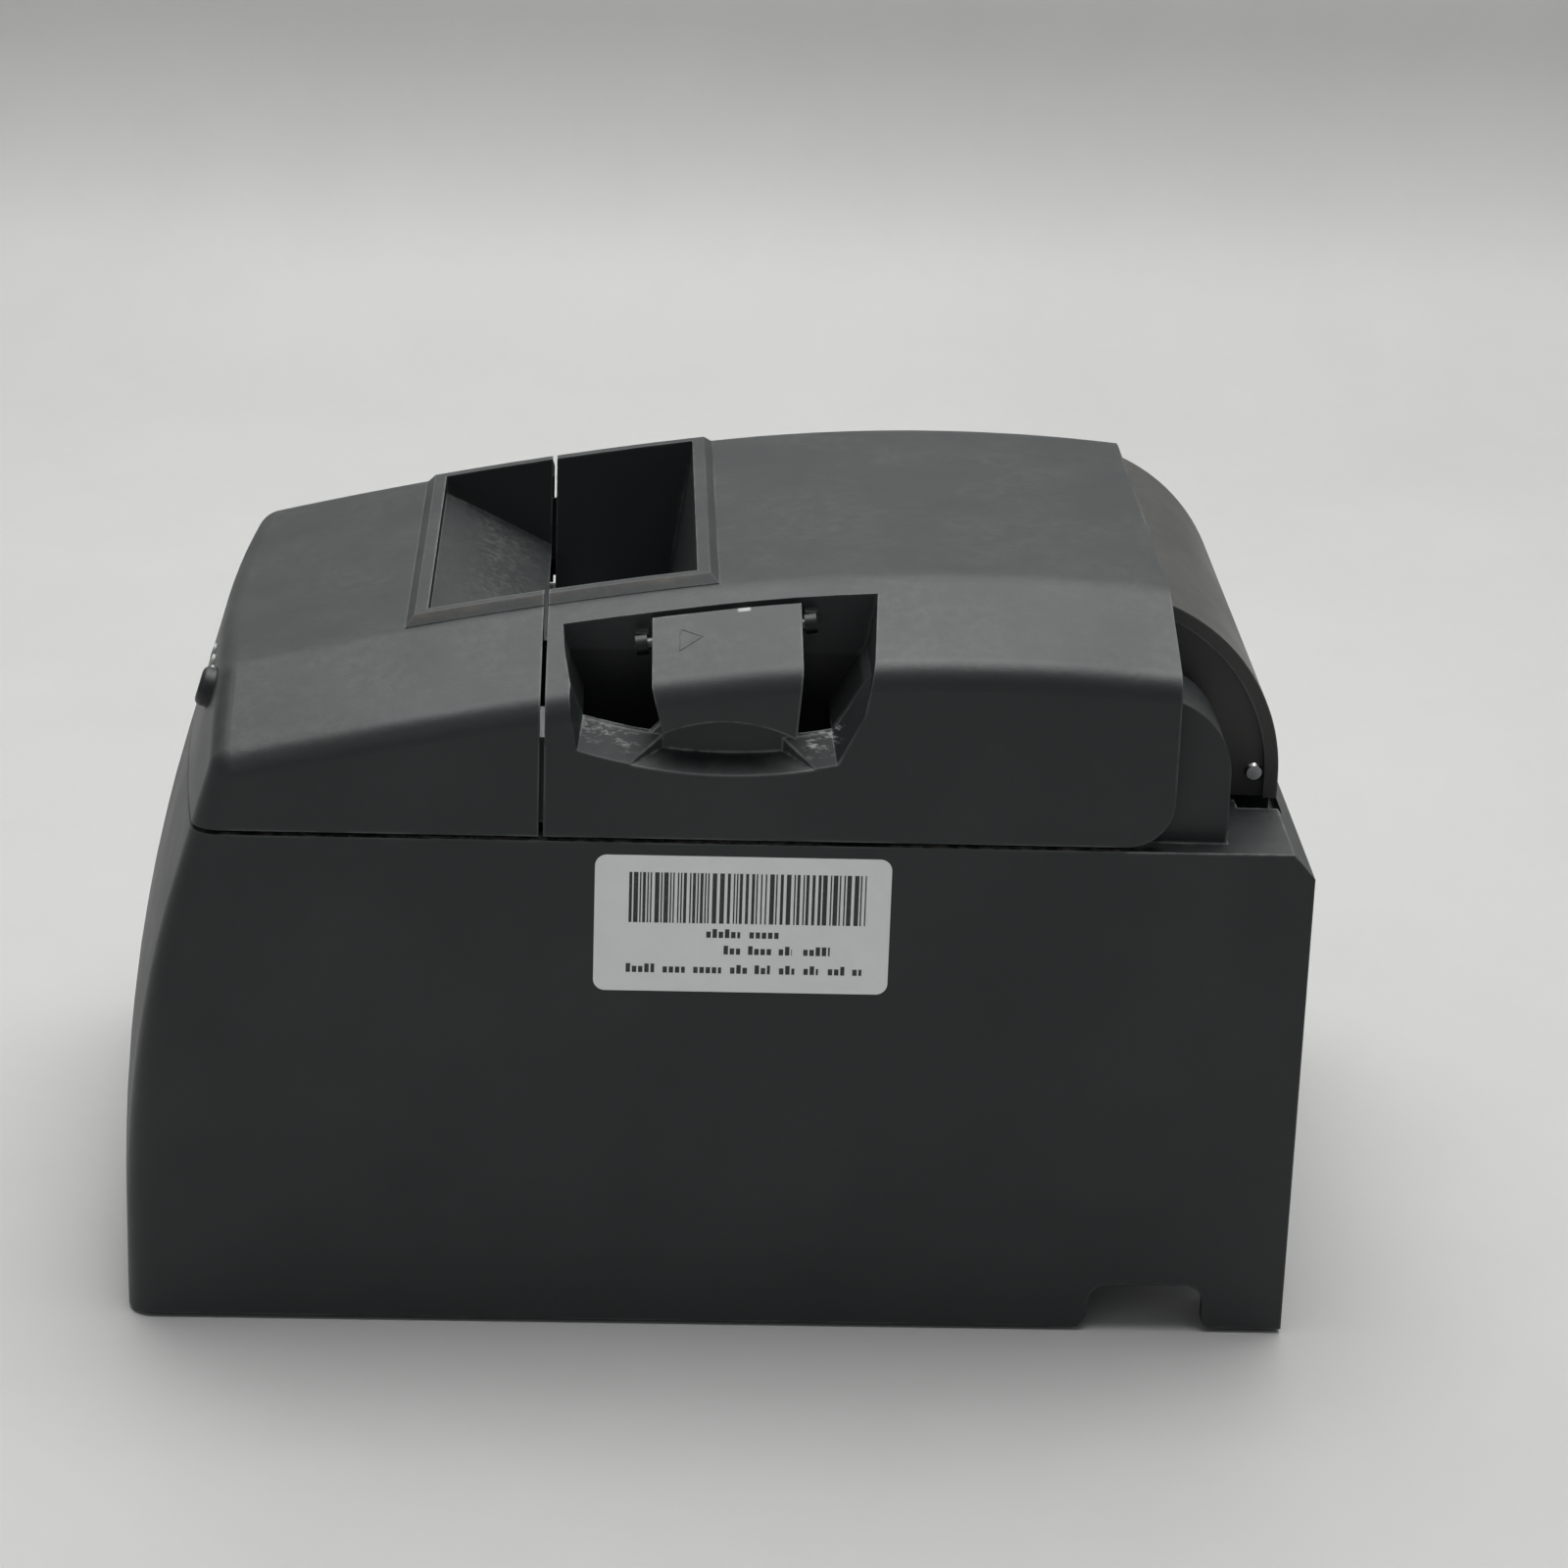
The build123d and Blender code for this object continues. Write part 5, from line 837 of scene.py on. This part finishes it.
def ink_rectangle(mesh, y0, y1, z0, z1):
    """One printed rectangle on the label."""
    corners = []
    outline = ((y0, z0), (y1, z0), (y1, z1), (y0, z1))
    for x in (INK_X, INK_X + INK_THICKNESS):
        corners += [mesh.verts.new((x, y, z)) for y, z in outline]
    mesh.faces.new(corners[4:])
    mesh.faces.new(corners[3::-1])
    for i in range(4):
        j = (i + 1) % 4
        mesh.faces.new((corners[i], corners[j], corners[4 + j], corners[4 + i]))


def print_bars(mesh, draw):
    """A row of bars and gaps of one to three units each."""
    y, end = (label_low.y + edge for edge in BAR_SPAN_Y)
    top, bottom = (label_high.z - drop for drop in BAR_DROPS)
    while y < end:
        wide = BAR_UNIT * draw.choice((1, 1, 2, 3))
        ink_rectangle(mesh, y, min(y + wide, end), bottom, top)
        y += wide + BAR_UNIT * draw.choice((1, 1, 2, 2))


def print_dashes(mesh, draw, y, end, z):
    """A row of short dashes with gaps, like words too small to read."""
    while y < end:
        word = min(y + draw.uniform(*WORD_LENGTHS), end)
        while y < word:
            height = DASH_HEIGHT * draw.choice((0.7, 0.7, 1.0))
            ink_rectangle(mesh, y, min(y + DASH, word), z, z + height)
            y += DASH_PITCH
        y += WORD_GAP


def mesh_data(name, mesh, material):
    """Turns a bmesh into mesh data with one material."""
    data = bpy.data.meshes.new(name)
    bmesh.ops.recalc_face_normals(mesh, faces=mesh.faces)
    mesh.to_mesh(data)
    mesh.free()
    data.materials.append(material)
    return data


def riding_piece(name, data, body):
    """A new piece that rides on a body."""
    piece = bpy.data.objects.new(name, data)
    scene.collection.objects.link(piece)
    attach(piece, body)
    return piece


draw = random.Random(7)
label_mesh = bmesh.new()
print_bars(label_mesh, draw)
for start, end, drop in PRINT_LINES:
    spot = (label_low.y + start, label_low.y + end, label_high.z - drop)
    print_dashes(label_mesh, draw, *spot)
label_data = mesh_data("label_print", label_mesh, materials["label_ink"])
label_print = riding_piece("label_print", label_data, "body")
print("label marks:", len(label_print.data.polygons) // 6)

# %% [markdown]
# ## Lips behind the shut line
#
# Where the two covers meet, a gap runs down the outer walls and the side walls of
# the paper exit. A thin plastic lip on the front cover stands behind the lower
# part of each gap, so light shows through only at the top. It stands a twentieth
# of a millimetre off the plane of the walls, so the cover clears it as it opens.


# %% Stand the lips behind the gap
def add_box(mesh, low, high):
    """A box between two corners, in millimetres."""
    middle = Vector([(a + b) / 2 for a, b in zip(low, high)]) * MM
    size = [(b - a) * MM for a, b in zip(low, high)]
    turn = Matrix.Translation(middle) @ Matrix.Diagonal((*size, 1.0))
    bmesh.ops.create_cube(mesh, size=1.0, matrix=turn)


LIP_FRONT_Y, LIP_REAR_Y = -30.6, -26.6
SHUT_EDGE_Y = -28.5  # where the front cover ends
FOOT_REACH = (-0.02, 0.06)  # the foot, from just inside the wall outwards
LIP_REACH = (0.05, 0.55)
LIPS = ((42.2, 1, 104.0, 116.0), (68.8, -1, 92.5, 107.5))  # wall, way from it, bottom, top


def add_lip(mesh, side, wall_x, away, bottom, top):
    """A lip with a thin foot that holds it on the front cover's wall."""
    for (near, far), rear in ((FOOT_REACH, SHUT_EDGE_Y), (LIP_REACH, LIP_REAR_Y)):
        x0, x1 = sorted((side * (wall_x + away * near), side * (wall_x + away * far)))
        add_box(mesh, (x0, LIP_FRONT_Y, bottom), (x1, rear, top))


lip_mesh = bmesh.new()
for side in (-1, 1):
    for wall_x, away, bottom, top in LIPS:
        add_lip(lip_mesh, side, wall_x, away, bottom, top)
lip_data = mesh_data("exit_lips", lip_mesh, materials["front_plastic"])
exit_lips = riding_piece("exit_lips", lip_data, "body")
print("lips:", len(exit_lips.data.polygons), "faces")

# %% [markdown]
# ## The arrow on the lever
#
# A thin triangle is moulded on the lever's flat top. It could be cut into the
# part, but the line is a quarter of a millimetre wide, so a fine raised bead is
# drawn instead: points along the triangle are dropped onto the lever with a ray,
# and a thin tube follows them.


# %% Mould the arrow
BEAD_R = 0.00011
BEAD_SINK = 0.00002  # how far the bead's middle lies in the skin
BEAD_STEPS = 8  # points along each side of the triangle
ARROW_CORNERS = ((0.0557, -0.0050), (0.0583, -0.0014), (0.0615, -0.0053))


def drop_on(node):
    """A function that finds the height of a part's skin under a point."""
    data = frame["nodes"][node].data
    corners = [v.co for v in data.vertices]
    tree = BVHTree.FromPolygons(corners, [p.vertices for p in data.polygons])

    def height(x, y):
        return tree.ray_cast(Vector((x, y, 0.2)), Vector((0, 0, -1)))[0].z

    return height


def bead(name, points, radius, material, body):
    """A thin round bead along a closed loop of points, made as a mesh."""
    curve = bpy.data.curves.new(name, "CURVE")
    curve.dimensions = "3D"
    curve.bevel_depth = radius
    curve.bevel_resolution = 2
    line = curve.splines.new("POLY")
    line.points.add(len(points) - 1)
    for point, place in zip(line.points, points):
        point.co = (*place, 1.0)
    line.use_cyclic_u = True
    holder = bpy.data.objects.new(name + "_line", curve)
    data = bpy.data.meshes.new_from_object(holder)
    bpy.data.objects.remove(holder)
    data.name = name
    data.materials.clear()
    data.materials.append(material)
    data.shade_smooth()
    return riding_piece(name, data, body)


def lever_arrow():
    """The outlined triangle, pointing to the rear of the printer."""
    skin = drop_on("release_lever")
    corners = [Vector(corner) for corner in ARROW_CORNERS]
    points = []
    for start, end in zip(corners, corners[1:] + corners[:1]):
        for k in range(BEAD_STEPS):
            spot = start.lerp(end, k / BEAD_STEPS)
            points.append(Vector((spot.x, spot.y, skin(spot.x, spot.y) - BEAD_SINK)))
    finish = materials["lever_plastic"]
    return bead("lever_arrow", points, BEAD_R, finish, "lever")


arrow = lever_arrow()
print("arrow points:", len(arrow.data.vertices))

# %% [markdown]
# ## A place to stand
#
# The printer stands on a pale board that curves up behind it. The board is plain
# and matt, with a very faint unevenness, so that nothing in it competes with the
# printer. It isn't part of the object.

# %% Build the floor and its backdrop
FLOOR_NEAR, FLOOR_FAR, SWEEP_R, WALL_TOP = 2.5, -0.52, 0.10, 2.5
FLOOR_HALF_WIDTH = 3.0
SWEEP_STEPS = 16


def sweep_profile():
    """The floor's side outline: flat, a quarter round, then the wall."""
    points = [(FLOOR_NEAR, 0.0)]
    for k in range(SWEEP_STEPS + 1):
        turn = math.pi / 2 * k / SWEEP_STEPS
        x = FLOOR_FAR - SWEEP_R * math.sin(turn)
        points.append((x, SWEEP_R * (1 - math.cos(turn))))
    points.append((FLOOR_FAR - SWEEP_R, WALL_TOP))
    return points


def make_floor():
    """One smooth sheet from floor to backdrop."""
    mesh = bmesh.new()
    rows = []
    for x, z in sweep_profile():
        ends = (-FLOOR_HALF_WIDTH, FLOOR_HALF_WIDTH)
        rows.append([mesh.verts.new((x, y, z)) for y in ends])
    for near, far in zip(rows, rows[1:]):
        mesh.faces.new((near[0], near[1], far[1], far[0]))
    tree, shader = start_material("pale_board", roughness=0.55)
    cloud = scratchy(tree, 5.0, 0.2, 0.8)
    tint = over(tree, rgb(0.50, 0.50, 0.49), rgb(0.54, 0.54, 0.53), cloud)
    paint(tree, shader, tint)
    data = mesh_data("floor", mesh, materials["pale_board"])
    data.shade_smooth()
    floor = bpy.data.objects.new("floor", data)
    scene.collection.objects.link(floor)
    return floor


floor = make_floor()
print("floor reaches from", FLOOR_NEAR, "to", FLOOR_FAR)

# %% [markdown]
# ## Soft studio light
#
# One big soft light hangs over the printer, a little behind it, and a lower panel
# stands behind, so the dark top catches a broad sheen while the side stays deep.
# A dim fill by the camera keeps the side readable, and a pale world lifts the
# shadows. Small lights would make sharp shadows and glints that a matt plastic
# doesn't have.

# %% Hang the lights
LIGHTS = (  # name, place, target, size in metres, power in watts
    ("overhead", (-0.15, 0.10, 1.5), (0.0, 0.0, 0.05), 1.3, 23.0),
    ("back_panel", (-0.46, -0.05, 0.72), (0.0, 0.0, 0.12), 0.9, 4.0),
    ("fill", (1.6, -0.7, 0.9), (0.0, 0.0, 0.06), 1.2, 1.6),
)
SKY_COLOUR = rgb(0.93, 0.96, 1.0)
SKY_STRENGTH = 0.20


def area_light(name, place, target, size, power):
    """A square area light that looks at a point."""
    light = bpy.data.lights.new(name, "AREA")
    light.size = size
    light.energy = power
    lamp = bpy.data.objects.new(name, light)
    scene.collection.objects.link(lamp)
    lamp.location = place
    aim = Vector(target) - Vector(place)
    lamp.rotation_euler = aim.to_track_quat("-Z", "Y").to_euler()


for light in LIGHTS:
    area_light(*light)
world = bpy.data.worlds.new("studio")
world.use_nodes = True
sky = world.node_tree.nodes["Background"]
sky.inputs["Color"].default_value = SKY_COLOUR
sky.inputs["Strength"].default_value = SKY_STRENGTH
scene.world = world
scene.view_settings.view_transform = "Standard"
